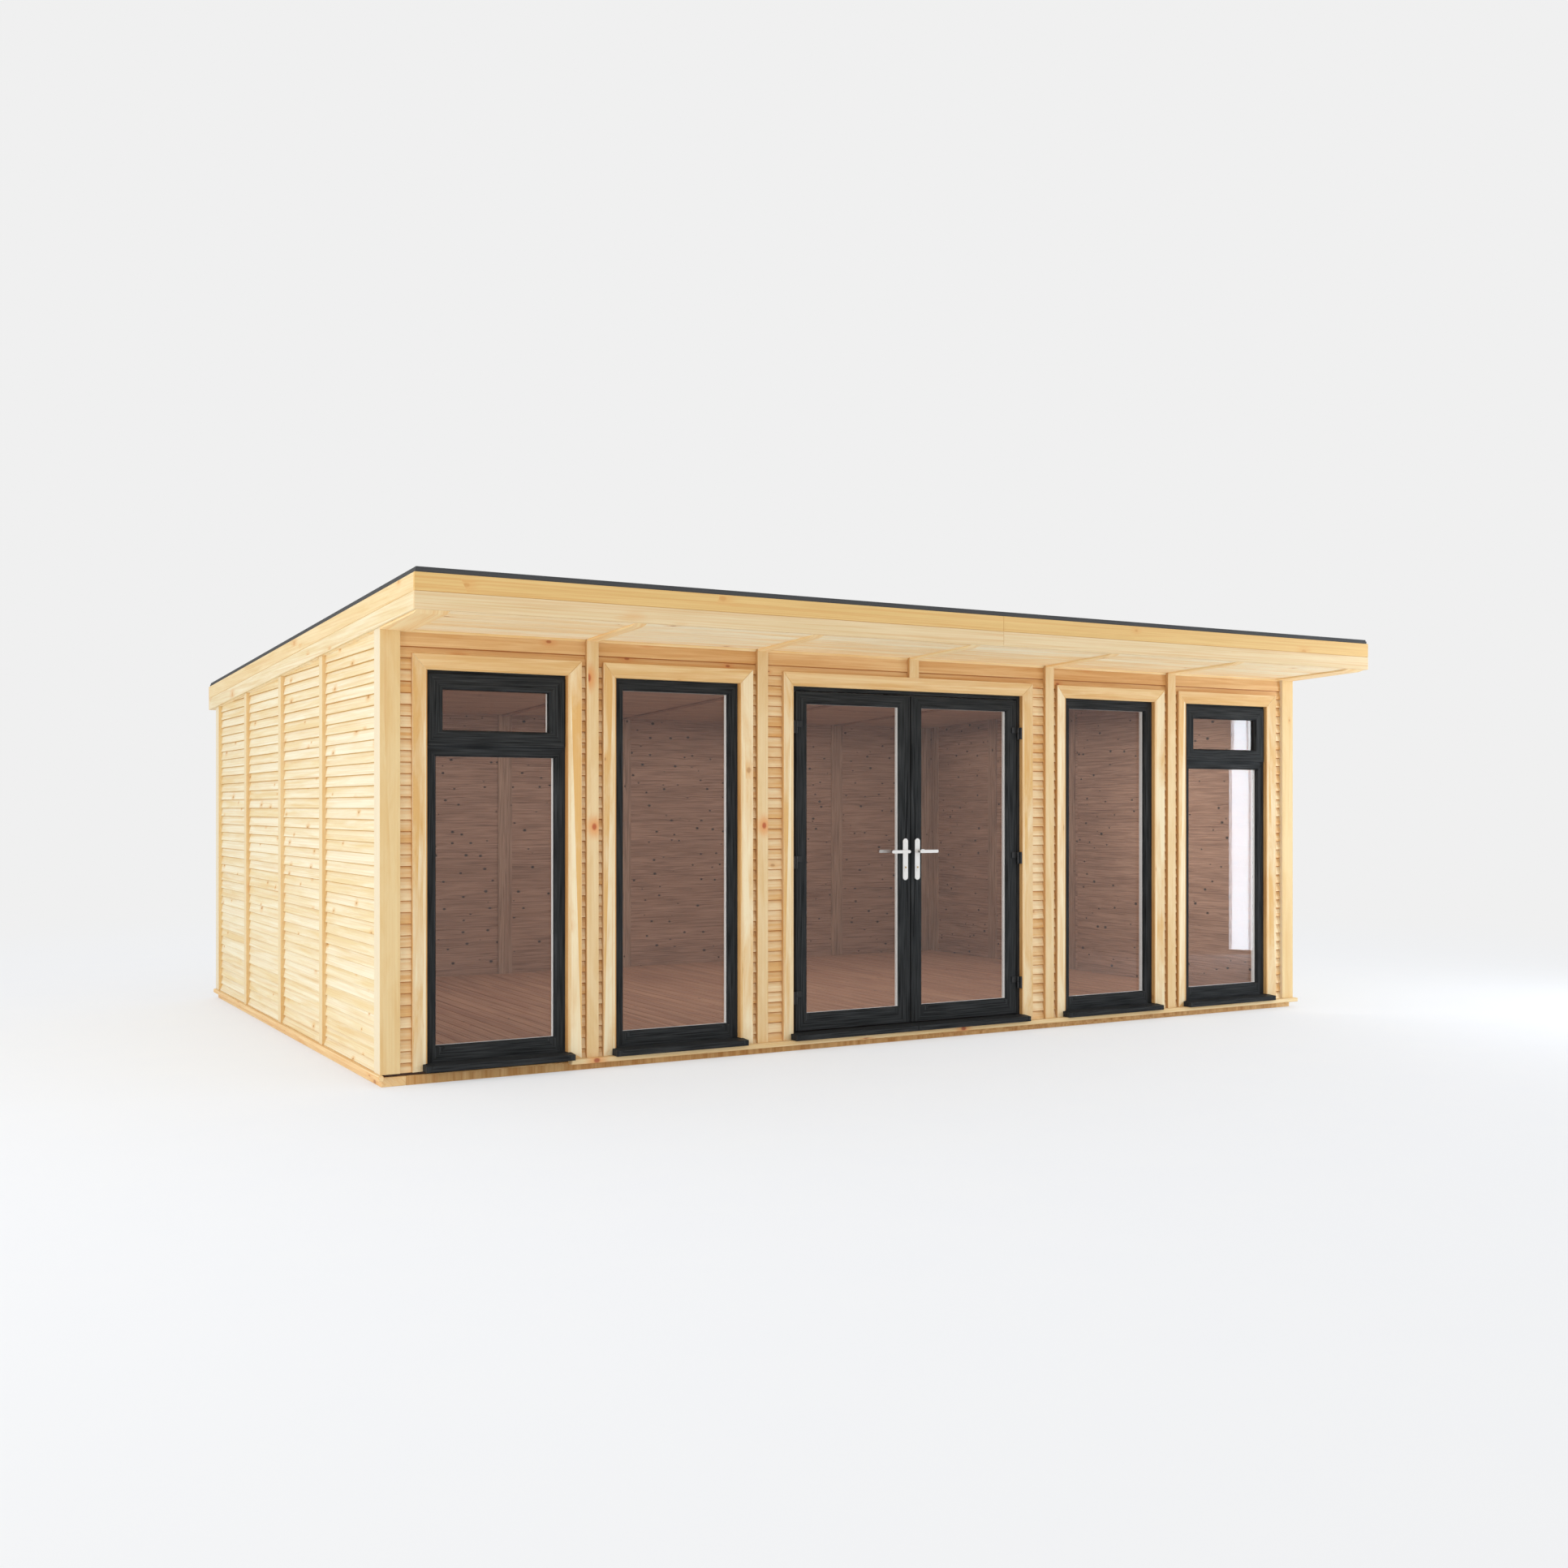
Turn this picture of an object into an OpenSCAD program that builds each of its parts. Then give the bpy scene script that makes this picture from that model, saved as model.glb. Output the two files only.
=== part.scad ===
// Insulated garden room: pine-clad panel walls on a timber base, a mono-pitch
// roof that is high at the front, four tall windows and a pair of glazed doors.
// Millimetres, +Z up, front towards -Y, origin on the ground under the roof's centre.

/* [Plan] */
// Width of one side panel, from cover batten to cover batten
bay = 1000; // [800:10:1200]
// Panels along the front
front_bays = 6; // [6:2:8]
// Panels along each side
side_bays = 4; // [3:1:5]
// Side of the square corner posts
post = 100; // [80:5:130]
// Setback of the first side panel from the front face of the posts
side_grid = 155; // [120:5:200]
// Overlap of the rear posts past the last side panel
rear_cover = 12; // [0:1:30]

/* [Walls] */
// Height of the roof's underside above the opening heads, at the front face of the posts
eaves_h = 190; // [150:1:260]
// Thickness of the weatherboards, which are nailed over the panels
clad_t = 10; // [6:1:14]
// How far battens and posts stand proud of the weatherboards
batten_proud = 20; // [12:1:25]
// Width of the cover battens over the panel seams
batten_w = 66; // [40:1:90]

/* [Base] */
// Height of the base bearers
base_h = 47; // [40:1:90]
// Thickness of the floor deck
deck_t = 15; // [12:1:25]
// Width of the two end bearers, which show at the front
end_bearer_w = 123; // [80:1:160]
// Width of the cross bearers
cross_bearer_w = 70; // [40:1:100]
// Number of cross bearers
cross_bearers = 7; // [5:1:11]
// Setback of the base from the faces of the posts at the ends
base_inset_x = 12; // [6:1:16]
// Setback of the base from the faces of the posts at front and back
base_inset_y = 20; // [10:1:28]
// Thickness of the cap boards round the base
cap_t = 25; // [18:1:30]
// Overhang of the front cap board past the posts
cap_front = 30; // [10:1:45]
// Overhang of the end and back cap boards past the posts
cap_end = 14; // [5:1:15]
// Distance of the front cap board's start past the first window opening
cap_start = 2; // [-40:1:60]

/* [Roof] */
// Fall of the roof to the back, in degrees
roof_pitch = 2.15; // [1:0.05:4]
// Roof overhang in front of the posts
eave_front = 606; // [300:1:800]
// Roof overhang behind the posts
eave_back = 185; // [60:1:300]
// Roof overhang at each end
eave_side = 15; // [15:1:60]
// Height of the fascia, two boards one over the other
fascia_h = 165; // [120:1:200]
// Height of the lower fascia board
fascia_split = 81; // [60:1:100]
// Thickness of the fascia boards
fascia_t = 15; // [12:1:15]
// Depth of the open joint between the fascia boards
joint_depth = 4; // [2:0.5:6]
// Width of the open joint between the fascia boards
joint_w = 2; // [1:0.5:6]
// Distance of the butt joint in the front fascia from the middle
butt_x = 176; // [-900:1:900]
// Width of that butt joint
butt_w = 1.5; // [1:0.5:4]
// Thickness of the boards that line the soffit and the ceiling
soffit_t = 12; // [8:1:18]
// Drop of the cover battens below the soffit boards
soffit_batten_drop = 10; // [6:1:16]
// Width of the cover battens under the soffit
soffit_batten_w = 62; // [40:1:80]
// Sealant bed between the sloping roof and what carries it
roof_bed = 0.05; // [0.02:0.01:0.3]
// Thickness of the roof covering at its edge
membrane_t = 26; // [15:1:40]
// Setback of the roof covering from the fascia's face
membrane_inset = 11; // [5:1:14]

/* [Openings] */
// Width of each window opening
window_w = 740; // [500:5:900]
// Width of the wall between two neighbouring window openings
window_pier = 260; // [220:5:400]
// Width of the door opening
door_w = 1600; // [1400:10:2000]
// Width of the wall from the door opening to the panel seam beside it
door_pier = 200; // [130:5:400]
// Height of the opening heads above ground
head_h = 2016; // [1900:1:2300]
// Width of the architraves
architrave_w = 70; // [50:1:75]
// Height of the architrave heads
architrave_head = 76; // [50:1:80]
// How far the architrave's face falls back towards the opening
architrave_fall = 12; // [0:1:16]
// Width of the flat bead along the architrave's inner edge
architrave_bead = 13; // [5:1:25]

/* [Windows] */
// Setback of window and door frames from the faces of the posts
frame_back = 40; // [32:1:45]
// Face width of the window stiles and heads
frame_w = 60; // [45:1:75]
// Height of the window bottom rails, down to the floor deck
bottom_rail = 112; // [90:1:150]
// Depth of the transom's lower edge below the opening heads, on the vented windows
transom_z = 419; // [380:1:600]
// Height of the transom bar
transom_h = 65; // [55:1:80]
// Face width of the frame beside and over the vent opening
vent_frame = 30; // [24:1:40]
// Overlap of the vent sash on the frame round its opening
sash_lap = 15; // [8:1:18]
// Face width of the vent sash
sash_w = 76; // [60:1:90]
// How far the vent sash stands proud of the frame
sash_proud = 12; // [8:1:15]
// Slack of the vent sash inside its opening
sash_gap = 4; // [2:1:6]
// Thickness of the sealed glass units
glass_t = 24; // [20:1:28]
// Setback of the glass from the frame's face
glass_back = 24; // [16:1:30]
// Chamfer of the beads round the glass
bead = 10; // [5:1:14]

/* [Sills] */
// Projection of the sills in front of the posts
sill_nose = 50; // [35:1:70]
// Height of the sills at the frame
sill_h = 35; // [28:1:45]
// Fall of the sill's top towards its nose
sill_fall = 6; // [2:1:10]
// Overlap of the sill horns in front of the architraves
sill_horn = 15; // [5:1:30]

/* [Doors] */
// Visible face of the door frame round the leaves
door_frame_w = 22; // [18:1:30]
// Running gap round the door leaves
door_gap = 5; // [5:1:8]
// Gap between the meeting stiles
meeting_gap = 8; // [6:1:10]
// Thickness of the door leaves
leaf_t = 50; // [44:1:52]
// How far the leaves stand proud of the door frame
leaf_proud = 4; // [2:1:6]
// Width of the door stiles
stile_w = 76; // [70:1:100]
// Height of the door's top rail
door_top_rail = 67; // [60:1:110]
// Height of the door's bottom rail
door_bottom_rail = 95; // [80:1:200]
// Depth of the stop behind the leaves, seen across the opening
stop_w = 26; // [18:1:32]

/* [Hinges] */
// Distances of the end hinges' middles from the leaf's lower and upper edge
hinge_heights = [188, 199];
// Height of one hinge
hinge_h = 70; // [50:2:100]
// Radius of the hinge knuckles
knuckle_r = 8; // [6:0.5:10]
// Radius of the hinge pins
pin_r = 4; // [3:0.5:4.5]
// Radial clearance of the hinge pins
pin_gap = 0.1; // [0.05:0.01:0.1]
// Distance between the two halves of a hinge, along the pin
knuckle_gap = 0.3; // [0.2:0.1:0.8]
// Clear distance between the knuckles and the leaf
knuckle_clear = 3; // [2:0.5:5]
// Thickness of the hinge flags on the leaves
flag_t = 6; // [4:0.5:8]
// Width of the hinge flags on the leaves
flag_w = 42; // [30:1:55]

/* [Handles] */
// Height of the lever spindles above ground
lever_z = 1090; // [1000:1:1150]
// Distance of the spindles from the edge of the meeting stile
backset = 38; // [32:1:45]
// Width of the handle plates
plate_w = 35; // [28:1:40]
// Height of the handle plates
plate_h = 240; // [200:1:260]
// Thickness of the handle plates
plate_t = 8; // [5:1:12]
// Height of the plate above the spindle
plate_top = 75; // [50:1:100]
// Radius of the lever spindle
spindle_r = 5; // [4:0.5:6]
// Radius of the lever neck
neck_r = 9; // [7:0.5:11]
// Distance of the lever bar from the plate
lever_off = 30; // [25:1:45]
// Length of the lever from the spindle to its tip
lever_len = 120; // [100:1:140]
// Height of the lever bar
lever_bar = 18; // [14:1:22]
// Thickness of the lever bar
lever_t = 12; // [9:1:16]
// Running clearance of the lever in its plate and leaf
lever_gap = 0.3; // [0.2:0.1:0.5]

/* [Hidden] */
$fn = 48;
// Overlap of a cutting shape past the face that it cuts
eps = 1;
fall = tan(roof_pitch);

// Seams of the front panels: two beside the doors, then one past each window
door_half = door_w / 2 + door_pier;
window_bay = window_w + window_pier;
span_w = 2 * door_half + (front_bays - 2) * window_bay;
function seam_x(k) =
  let (n = k - front_bays / 2) n == 0 ? 0 : sign(n) * (door_half + (abs(n) - 1) * window_bay);

wall_w = span_w + 2 * post;
wall_d = side_grid + side_bays * bay + rear_cover;
roof_w = wall_w + 2 * eave_side;
roof_d = eave_front + wall_d + eave_back;

// Faces of the posts: left, right, front and back
x_left = -wall_w / 2;
x_right = wall_w / 2;
y_front = -roof_d / 2 + eave_front;
y_back = y_front + wall_d;
// Faces of the wall panels, behind battens and weatherboards
panel_in = batten_proud + clad_t;
floor_z = base_h + deck_t;

// Underside of the soffit boards, and of the roof panel over them
function soffit_z(y) = head_h + eaves_h - (y - y_front) * fall;
function panel_z(y) = soffit_z(y) + soffit_t;

// Window bays count from the left, two on each side of the doors
window_bays = [0, 1, front_bays - 2, front_bays - 1];
vented_bays = [0, front_bays - 1];
function window_x(k) = (seam_x(k) + seam_x(k + 1)) / 2;
frame_y = y_front + frame_back;
wall_in_y = y_front + post;
frame_d = post - frame_back;

// Clear part of the door frame, and one leaf
door_clear = door_w - 2 * door_frame_w;
sill_z = floor_z + sill_h;
leaf_out = door_clear / 2 - door_gap;
leaf_in = meeting_gap / 2;
leaf_lo = sill_z + door_gap;
leaf_hi = head_h - door_frame_w - door_gap;
leaf_y = frame_y - leaf_proud;
leaf_back = leaf_y + leaf_t;
pivot_x = door_clear / 2 - door_gap / 2;
pivot_y = leaf_y - knuckle_clear - knuckle_r;
lever_x = leaf_in + backset;

pine = "#e3c48d";
pine_pale = "#ecd6a6";
upvc_black = "#2b2d2f";
glass_tint = "#9fb0b040";
roofing = "#4a4d52";
steel = "#d9dade";
roof_core = "#c9b48a";

// A block from its low corner to its high corner
module block(lo, hi) {
  translate(lo) cube([hi[0] - lo[0], hi[1] - lo[1], hi[2] - lo[2]]);
}

// A prism along X from a section drawn in Y and Z
module prism_x(x0, x1, section) {
  translate([x0, 0, 0]) rotate([90, 0, 90]) linear_extrude(height = x1 - x0) polygon(section);
}

// A prism along Z from a plan drawn in X and Y
module prism_z(z0, z1, plan) {
  translate([0, 0, z0]) linear_extrude(height = z1 - z0) polygon(plan);
}

// A prism along Y from an elevation drawn in X and Z
module prism_y(y0, y1, elevation) {
  translate([0, y1, 0]) rotate([90, 0, 0]) linear_extrude(height = y1 - y0) polygon(elevation);
}

// A wall piece that stands on z0 and ends under the sloping roof
module under_roof(x0, x1, y0, y1, z0 = floor_z) {
  prism_x(x0, x1, [[y0, z0], [y1, z0], [y1, panel_z(y1) - roof_bed], [y0, panel_z(y0) - roof_bed]]);
}

// A slab that follows the roof, between two heights above the soffit line
module roof_slab(x0, x1, y0, y1, low, high) {
  prism_x(x0, x1, [
    [y0, soffit_z(y0) + low], [y1, soffit_z(y1) + low],
    [y1, soffit_z(y1) + high], [y0, soffit_z(y0) + high]
  ]);
}

// Base

module base_end_bearers() {
  color(pine_pale) for (side = [0, 1]) mirror([side, 0, 0])
    block([x_left + base_inset_x, y_front + base_inset_y, 0],
          [x_left + base_inset_x + end_bearer_w, y_back - base_inset_y, base_h]);
}

module base_cross_bearers() {
  half = -x_left - base_inset_x - end_bearer_w;
  first = y_front + base_inset_y;
  step = (wall_d - 2 * base_inset_y - cross_bearer_w) / (cross_bearers - 1);
  color(pine_pale) for (i = [0 : cross_bearers - 1])
    block([-half, first + i * step, 0], [half, first + i * step + cross_bearer_w, base_h]);
}

module floor_deck() {
  color(pine) block([x_left + panel_in, y_front + panel_in, base_h],
                    [x_right - panel_in, y_back - panel_in, floor_z]);
}

// Boards along both ends of the base, one past the front of the posts
module end_caps() {
  color(pine_pale) for (side = [0, 1]) mirror([side, 0, 0])
    block([x_left - cap_end, y_front + (side == 0 ? -cap_front : base_inset_y), floor_z - cap_t],
          [x_left + base_inset_x, y_back + cap_end, floor_z]);
}

// The front board starts past the first window: the bay before it has none
module front_back_caps() {
  color(pine_pale) {
    block([window_x(0) + window_w / 2 + cap_start, y_front - cap_front, floor_z - cap_t],
          [x_right + cap_end, y_front + base_inset_y, floor_z]);
    block([x_left + base_inset_x, y_back - base_inset_y, floor_z - cap_t],
          [x_right - base_inset_x, y_back + cap_end, floor_z]);
  }
}

// Walls

module end_wall() {
  under_roof(x_left + panel_in, x_left + post, wall_in_y, y_back - post);
}

module left_wall() {
  color(pine) end_wall();
}

module right_wall() {
  color(pine) mirror([1, 0, 0]) end_wall();
}

module back_wall() {
  color(pine) under_roof(-span_w / 2, span_w / 2, y_back - post, y_back - panel_in);
}

// Low and high edges of the openings, from left to right, closed by the two posts
opening_edges = [
  -span_w / 2,
  window_x(0) - window_w / 2, window_x(0) + window_w / 2,
  window_x(1) - window_w / 2, window_x(1) + window_w / 2,
  -door_w / 2, door_w / 2,
  window_x(front_bays - 2) - window_w / 2, window_x(front_bays - 2) + window_w / 2,
  window_x(front_bays - 1) - window_w / 2, window_x(front_bays - 1) + window_w / 2,
  span_w / 2
];

module front_piers() {
  color(pine) for (i = [0 : 2 : len(opening_edges) - 2])
    block([opening_edges[i], y_front + panel_in, floor_z], [opening_edges[i + 1], wall_in_y, head_h]);
}

module front_header() {
  color(pine) under_roof(-span_w / 2, span_w / 2, y_front + panel_in, wall_in_y, head_h);
}

module corner_posts() {
  color(pine) for (side = [0, 1]) mirror([side, 0, 0]) {
    under_roof(x_left, x_left + post, y_front, wall_in_y);
    under_roof(x_left, x_left + post, y_back - post, y_back);
  }
}

// Cover battens on the panel seams

module front_battens() {
  color(pine) for (k = [1 : front_bays - 1])
    if (abs(seam_x(k)) > door_w / 2)
      under_roof(seam_x(k) - batten_w / 2, seam_x(k) + batten_w / 2, y_front, y_front + panel_in);
    else if (seam_x(k) == 0)
      under_roof(-batten_w / 2, batten_w / 2, y_front, y_front + panel_in, head_h + architrave_head);
}

module end_battens() {
  for (k = [1 : side_bays - 1]) {
    y = y_front + side_grid + k * bay;
    under_roof(x_left, x_left + panel_in, y - batten_w / 2, y + batten_w / 2);
  }
}

module left_battens() {
  color(pine) end_battens();
}

module right_battens() {
  color(pine) mirror([1, 0, 0]) end_battens();
}

module back_battens() {
  color(pine) for (k = [1 : front_bays - 1])
    under_roof(seam_x(k) - batten_w / 2, seam_x(k) + batten_w / 2, y_back - panel_in, y_back);
}

// Architraves round the openings, with a face that falls back to a flat bead
// and mitred corners: [middle, width] of each opening
trimmed = concat([for (k = window_bays) [window_x(k), window_w]], [[0, door_w]]);
trim_back = y_front + panel_in;
trim_low = y_front + architrave_fall;

module architrave_legs() {
  color(pine_pale) for (opening = trimmed, side = [0, 1])
    translate([opening[0], 0, 0]) mirror([side, 0, 0]) difference() {
      in_x = opening[1] / 2;
      out_x = in_x + architrave_w;
      intersection() {
        prism_y(y_front, trim_back, [
          [in_x, floor_z], [out_x, floor_z], [out_x, head_h + architrave_head], [in_x, head_h]
        ]);
        prism_z(floor_z, head_h + architrave_head, [
          [in_x, trim_low], [in_x + architrave_bead, trim_low], [out_x, y_front],
          [out_x, trim_back], [in_x, trim_back]
        ]);
      }
      sill_horns(in_x);
    }
}

module architrave_heads() {
  top = head_h + architrave_head;
  bead_z = head_h + architrave_bead * architrave_head / architrave_w;
  color(pine_pale) for (opening = trimmed)
    translate([opening[0], 0, 0]) intersection() {
      in_x = opening[1] / 2;
      out_x = in_x + architrave_w;
      prism_y(y_front, trim_back, [[-in_x, head_h], [in_x, head_h], [out_x, top], [-out_x, top]]);
      prism_x(-out_x, out_x, [
        [trim_low, head_h], [trim_back, head_h], [trim_back, top], [y_front, top], [trim_low, bead_z]
      ]);
    }
}

// A rectangular light cut through a frame, with mitred bevels in front of the glass
module light(x0, x1, z0, z1, y_face, y_end) {
  front = y_face - eps;
  back = y_face + bead;
  spread = (bead + eps) / 2;
  block([x0, front, z0], [x1, y_end + eps, z1]);
  intersection() {
    prism_z(z0 - bead, z1 + bead, [[x0 - spread, front], [x1 + spread, front], [x1, back], [x0, back]]);
    prism_x(x0 - bead, x1 + bead, [[front, z0 - spread], [back, z0], [back, z1], [front, z1 + spread]]);
  }
}

// Windows

fixed_lo = floor_z + bottom_rail;
fixed_hi = head_h - frame_w;
transom_lo = head_h - transom_z;
vent_lo = transom_lo + transom_h;
vent_hi = head_h - vent_frame;
vent_half = window_w / 2 - vent_frame;
light_half = window_w / 2 - frame_w;

function is_vented(k) = len(search(k, vented_bays)) > 0;
function light_hi(k) = is_vented(k) ? transom_lo : fixed_hi;

module window_frame(k) {
  color(upvc_black) translate([window_x(k), 0, 0]) difference() {
    block([-window_w / 2, frame_y, floor_z], [window_w / 2, wall_in_y, head_h]);
    light(-light_half, light_half, fixed_lo, light_hi(k), frame_y, wall_in_y);
    if (is_vented(k))
      block([-vent_half, frame_y - eps, vent_lo], [vent_half, wall_in_y + eps, vent_hi]);
  }
}

module window_frame_1() {
  window_frame(window_bays[0]);
}

module window_frame_2() {
  window_frame(window_bays[1]);
}

module window_frame_3() {
  window_frame(window_bays[2]);
}

module window_frame_4() {
  window_frame(window_bays[3]);
}

// Clear light of the vent sashes
sash_half = vent_half + sash_lap;
vent_light = sash_half - sash_w;
sash_face = frame_y - sash_proud;

// Top-hung sashes: a face that laps the frame, and a body inside the opening
module vent_sashes() {
  color(upvc_black) for (k = vented_bays) translate([window_x(k), 0, 0]) difference() {
    union() {
      block([-sash_half, sash_face, vent_lo - sash_lap], [sash_half, frame_y, vent_hi + sash_lap]);
      block([-vent_half + sash_gap, frame_y - eps, vent_lo + sash_gap],
            [vent_half - sash_gap, wall_in_y - sash_gap, vent_hi - sash_gap]);
    }
    light(-vent_light, vent_light, vent_lo - sash_lap + sash_w, vent_hi + sash_lap - sash_w,
          sash_face, wall_in_y);
  }
}

module window_panes() {
  color(glass_tint) for (k = window_bays) translate([window_x(k), 0, 0])
    block([-light_half, frame_y + glass_back, fixed_lo],
          [light_half, frame_y + glass_back + glass_t, light_hi(k)]);
}

module vent_panes() {
  color(glass_tint) for (k = vented_bays) translate([window_x(k), 0, 0])
    block([-vent_light, sash_face + glass_back, vent_lo - sash_lap + sash_w],
          [vent_light, sash_face + glass_back + glass_t, vent_hi + sash_lap - sash_w]);
}

nose_y = y_front - sill_nose;
nose_z = sill_z - sill_fall;

// Sill with a sloping top and horns that the architraves are notched over
module sill(half, y_end) {
  prism_x(-half, half, [
    [nose_y, floor_z], [y_end, floor_z], [y_end, sill_z], [frame_y, sill_z], [nose_y, nose_z]
  ]);
  sill_horns(half);
}

module sill_horns(half) {
  horn_z = nose_z + sill_fall * (sill_nose + panel_in) / (sill_nose + frame_back);
  prism_x(-half - sill_horn, half + sill_horn, [
    [nose_y, floor_z], [trim_back, floor_z], [trim_back, horn_z], [nose_y, nose_z]
  ]);
}

module window_sills() {
  color(upvc_black) for (k = window_bays) translate([window_x(k), 0, 0]) sill(window_w / 2, frame_y);
}

// Doors

module door_sill() {
  color(upvc_black) sill(door_w / 2, wall_in_y);
}

stop_y = leaf_back + door_gap;

module door_jambs() {
  color(upvc_black) for (side = [0, 1]) mirror([side, 0, 0])
    block([door_clear / 2, frame_y, sill_z], [door_w / 2, wall_in_y, head_h]);
}

// Stops on the jambs, behind the leaves
module door_stops() {
  color(upvc_black) for (side = [0, 1]) mirror([side, 0, 0])
    block([door_clear / 2 - stop_w, stop_y, sill_z], [door_clear / 2, wall_in_y, head_h]);
}

// The head carries its own stop
module door_head() {
  clear_z = head_h - door_frame_w;
  color(upvc_black) {
    block([-door_clear / 2, frame_y, clear_z], [door_clear / 2, stop_y, head_h]);
    block([-door_clear / 2 + stop_w, stop_y, clear_z - stop_w],
          [door_clear / 2 - stop_w, wall_in_y, head_h]);
  }
}

// One leaf, drawn on the right; the left leaf is its mirror image
module leaf() {
  difference() {
    block([leaf_in, leaf_y, leaf_lo], [leaf_out, leaf_back, leaf_hi]);
    light(leaf_in + stile_w, leaf_out - stile_w, leaf_lo + door_bottom_rail, leaf_hi - door_top_rail,
          leaf_y, leaf_back);
    spindle_bore();
  }
}

module spindle_bore() {
  translate([lever_x, leaf_back + plate_t + eps, lever_z]) rotate([90, 0, 0])
    cylinder(h = leaf_t + 2 * plate_t + 2 * eps, r = spindle_r + lever_gap);
}

module pane() {
  block([leaf_in + stile_w, leaf_y + glass_back - bead, leaf_lo + door_bottom_rail],
        [leaf_out - stile_w, leaf_y + glass_back - bead + glass_t, leaf_hi - door_top_rail]);
}

// Plates with round ends on both faces of the leaf
module plates() {
  top = lever_z + plate_top - plate_w / 2;
  low = lever_z + plate_top - plate_h + plate_w / 2;
  difference() {
    for (y = [leaf_y - plate_t, leaf_back]) {
      block([lever_x - plate_w / 2, y, low], [lever_x + plate_w / 2, y + plate_t, top]);
      for (z = [low, top]) translate([lever_x, y + plate_t, z]) rotate([90, 0, 0])
        cylinder(h = plate_t, r = plate_w / 2);
    }
    spindle_bore();
  }
}

// Levers outside and inside on one spindle
module lever() {
  out_y = leaf_y - plate_t;
  in_y = leaf_back + plate_t;
  translate([lever_x, in_y + lever_off, lever_z]) rotate([90, 0, 0])
    cylinder(h = in_y - out_y + 2 * lever_off, r = spindle_r);
  for (y = [[out_y - lever_off, out_y - lever_gap], [in_y + lever_gap, in_y + lever_off]])
    translate([lever_x, y[1], lever_z]) rotate([90, 0, 0]) cylinder(h = y[1] - y[0], r = neck_r);
  for (y = [out_y - lever_off - lever_t, in_y + lever_off])
    translate([lever_x, y + lever_t, lever_z]) rotate([90, 0, 0]) {
      cylinder(h = lever_t, r = lever_bar / 2);
      translate([0, -lever_bar / 2, 0]) cube([lever_len - lever_bar / 2, lever_bar, lever_t]);
      translate([lever_len - lever_bar / 2, 0, 0]) cylinder(h = lever_t, r = lever_bar / 2);
    }
}

// Flag hinges: the half on the frame carries the pin, the half on the leaf turns on it

module frame_hinge() {
  top = -knuckle_gap / 2;
  translate([pivot_x, pivot_y, -hinge_h / 2]) cylinder(h = hinge_h / 2 + top, r = knuckle_r);
  translate([pivot_x, pivot_y, -hinge_h / 2]) cylinder(h = hinge_h, r = pin_r);
  block([pivot_x, pivot_y, -hinge_h / 2], [door_w / 2, pivot_y + knuckle_r, top]);
  block([door_clear / 2, pivot_y, -hinge_h / 2], [door_w / 2, frame_y, top]);
}

module leaf_hinge() {
  low = knuckle_gap / 2;
  difference() {
    union() {
      translate([pivot_x, pivot_y, low]) cylinder(h = hinge_h / 2 - low, r = knuckle_r);
      block([pivot_x - flag_w, leaf_y - flag_t, low], [pivot_x, leaf_y - knuckle_clear, hinge_h / 2]);
      block([pivot_x - flag_w, leaf_y - flag_t, low],
            [leaf_out - door_gap / 2, leaf_y, hinge_h / 2]);
    }
    translate([pivot_x, pivot_y, low - eps]) cylinder(h = hinge_h / 2 + 2 * eps, r = pin_r + pin_gap);
  }
}

hinge_lo = leaf_lo + hinge_heights[0];
hinge_hi = leaf_hi - hinge_heights[1];
hinge_z = [hinge_lo, (hinge_lo + hinge_hi) / 2, hinge_hi];

module frame_hinges() {
  color(upvc_black) for (side = [0, 1], z = hinge_z)
    mirror([side, 0, 0]) translate([0, 0, z]) frame_hinge();
}

module leaf_hinges() {
  for (z = hinge_z) translate([0, 0, z]) leaf_hinge();
}

module right_leaf() {
  color(upvc_black) leaf();
}

module left_leaf() {
  color(upvc_black) mirror([1, 0, 0]) leaf();
}

module right_pane() {
  color(glass_tint) pane();
}

module left_pane() {
  color(glass_tint) mirror([1, 0, 0]) pane();
}

module right_plates() {
  color(steel) plates();
}

module left_plates() {
  color(steel) mirror([1, 0, 0]) plates();
}

module right_lever() {
  color(steel) lever();
}

module left_lever() {
  color(steel) mirror([1, 0, 0]) lever();
}

module right_hinges() {
  color(upvc_black) leaf_hinges();
}

module left_hinges() {
  color(upvc_black) mirror([1, 0, 0]) leaf_hinges();
}

// Roof

roof_front = -roof_d / 2;
roof_back = roof_d / 2;

module roof_panel() {
  color(roof_core) roof_slab(-roof_w / 2 + fascia_t, roof_w / 2 - fascia_t, roof_front + fascia_t,
                             roof_back - fascia_t, soffit_t, fascia_h);
}

module roof_membrane() {
  color(roofing) roof_slab(-roof_w / 2 + membrane_inset, roof_w / 2 - membrane_inset,
                           roof_front + membrane_inset, roof_back - membrane_inset,
                           fascia_h + roof_bed, fascia_h + membrane_t);
}

// Two boards with an open joint between them, across the front or the back
module cross_fascia(y0, y1, joint_y0, joint_y1) {
  difference() {
    roof_slab(-roof_w / 2, roof_w / 2, y0, y1, 0, fascia_h);
    roof_slab(-roof_w / 2 - eps, roof_w / 2 + eps, joint_y0, joint_y1,
              fascia_split - joint_w / 2, fascia_split + joint_w / 2);
  }
}

// The front boards are two lengths, butted near the middle
module front_fascia() {
  color(pine_pale) difference() {
    cross_fascia(roof_front, roof_front + fascia_t, roof_front - eps, roof_front + joint_depth);
    block([butt_x - butt_w / 2, roof_front - eps, soffit_z(roof_front) - fascia_h],
          [butt_x + butt_w / 2, roof_front + joint_depth, soffit_z(roof_front) + 2 * fascia_h]);
  }
}

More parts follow.
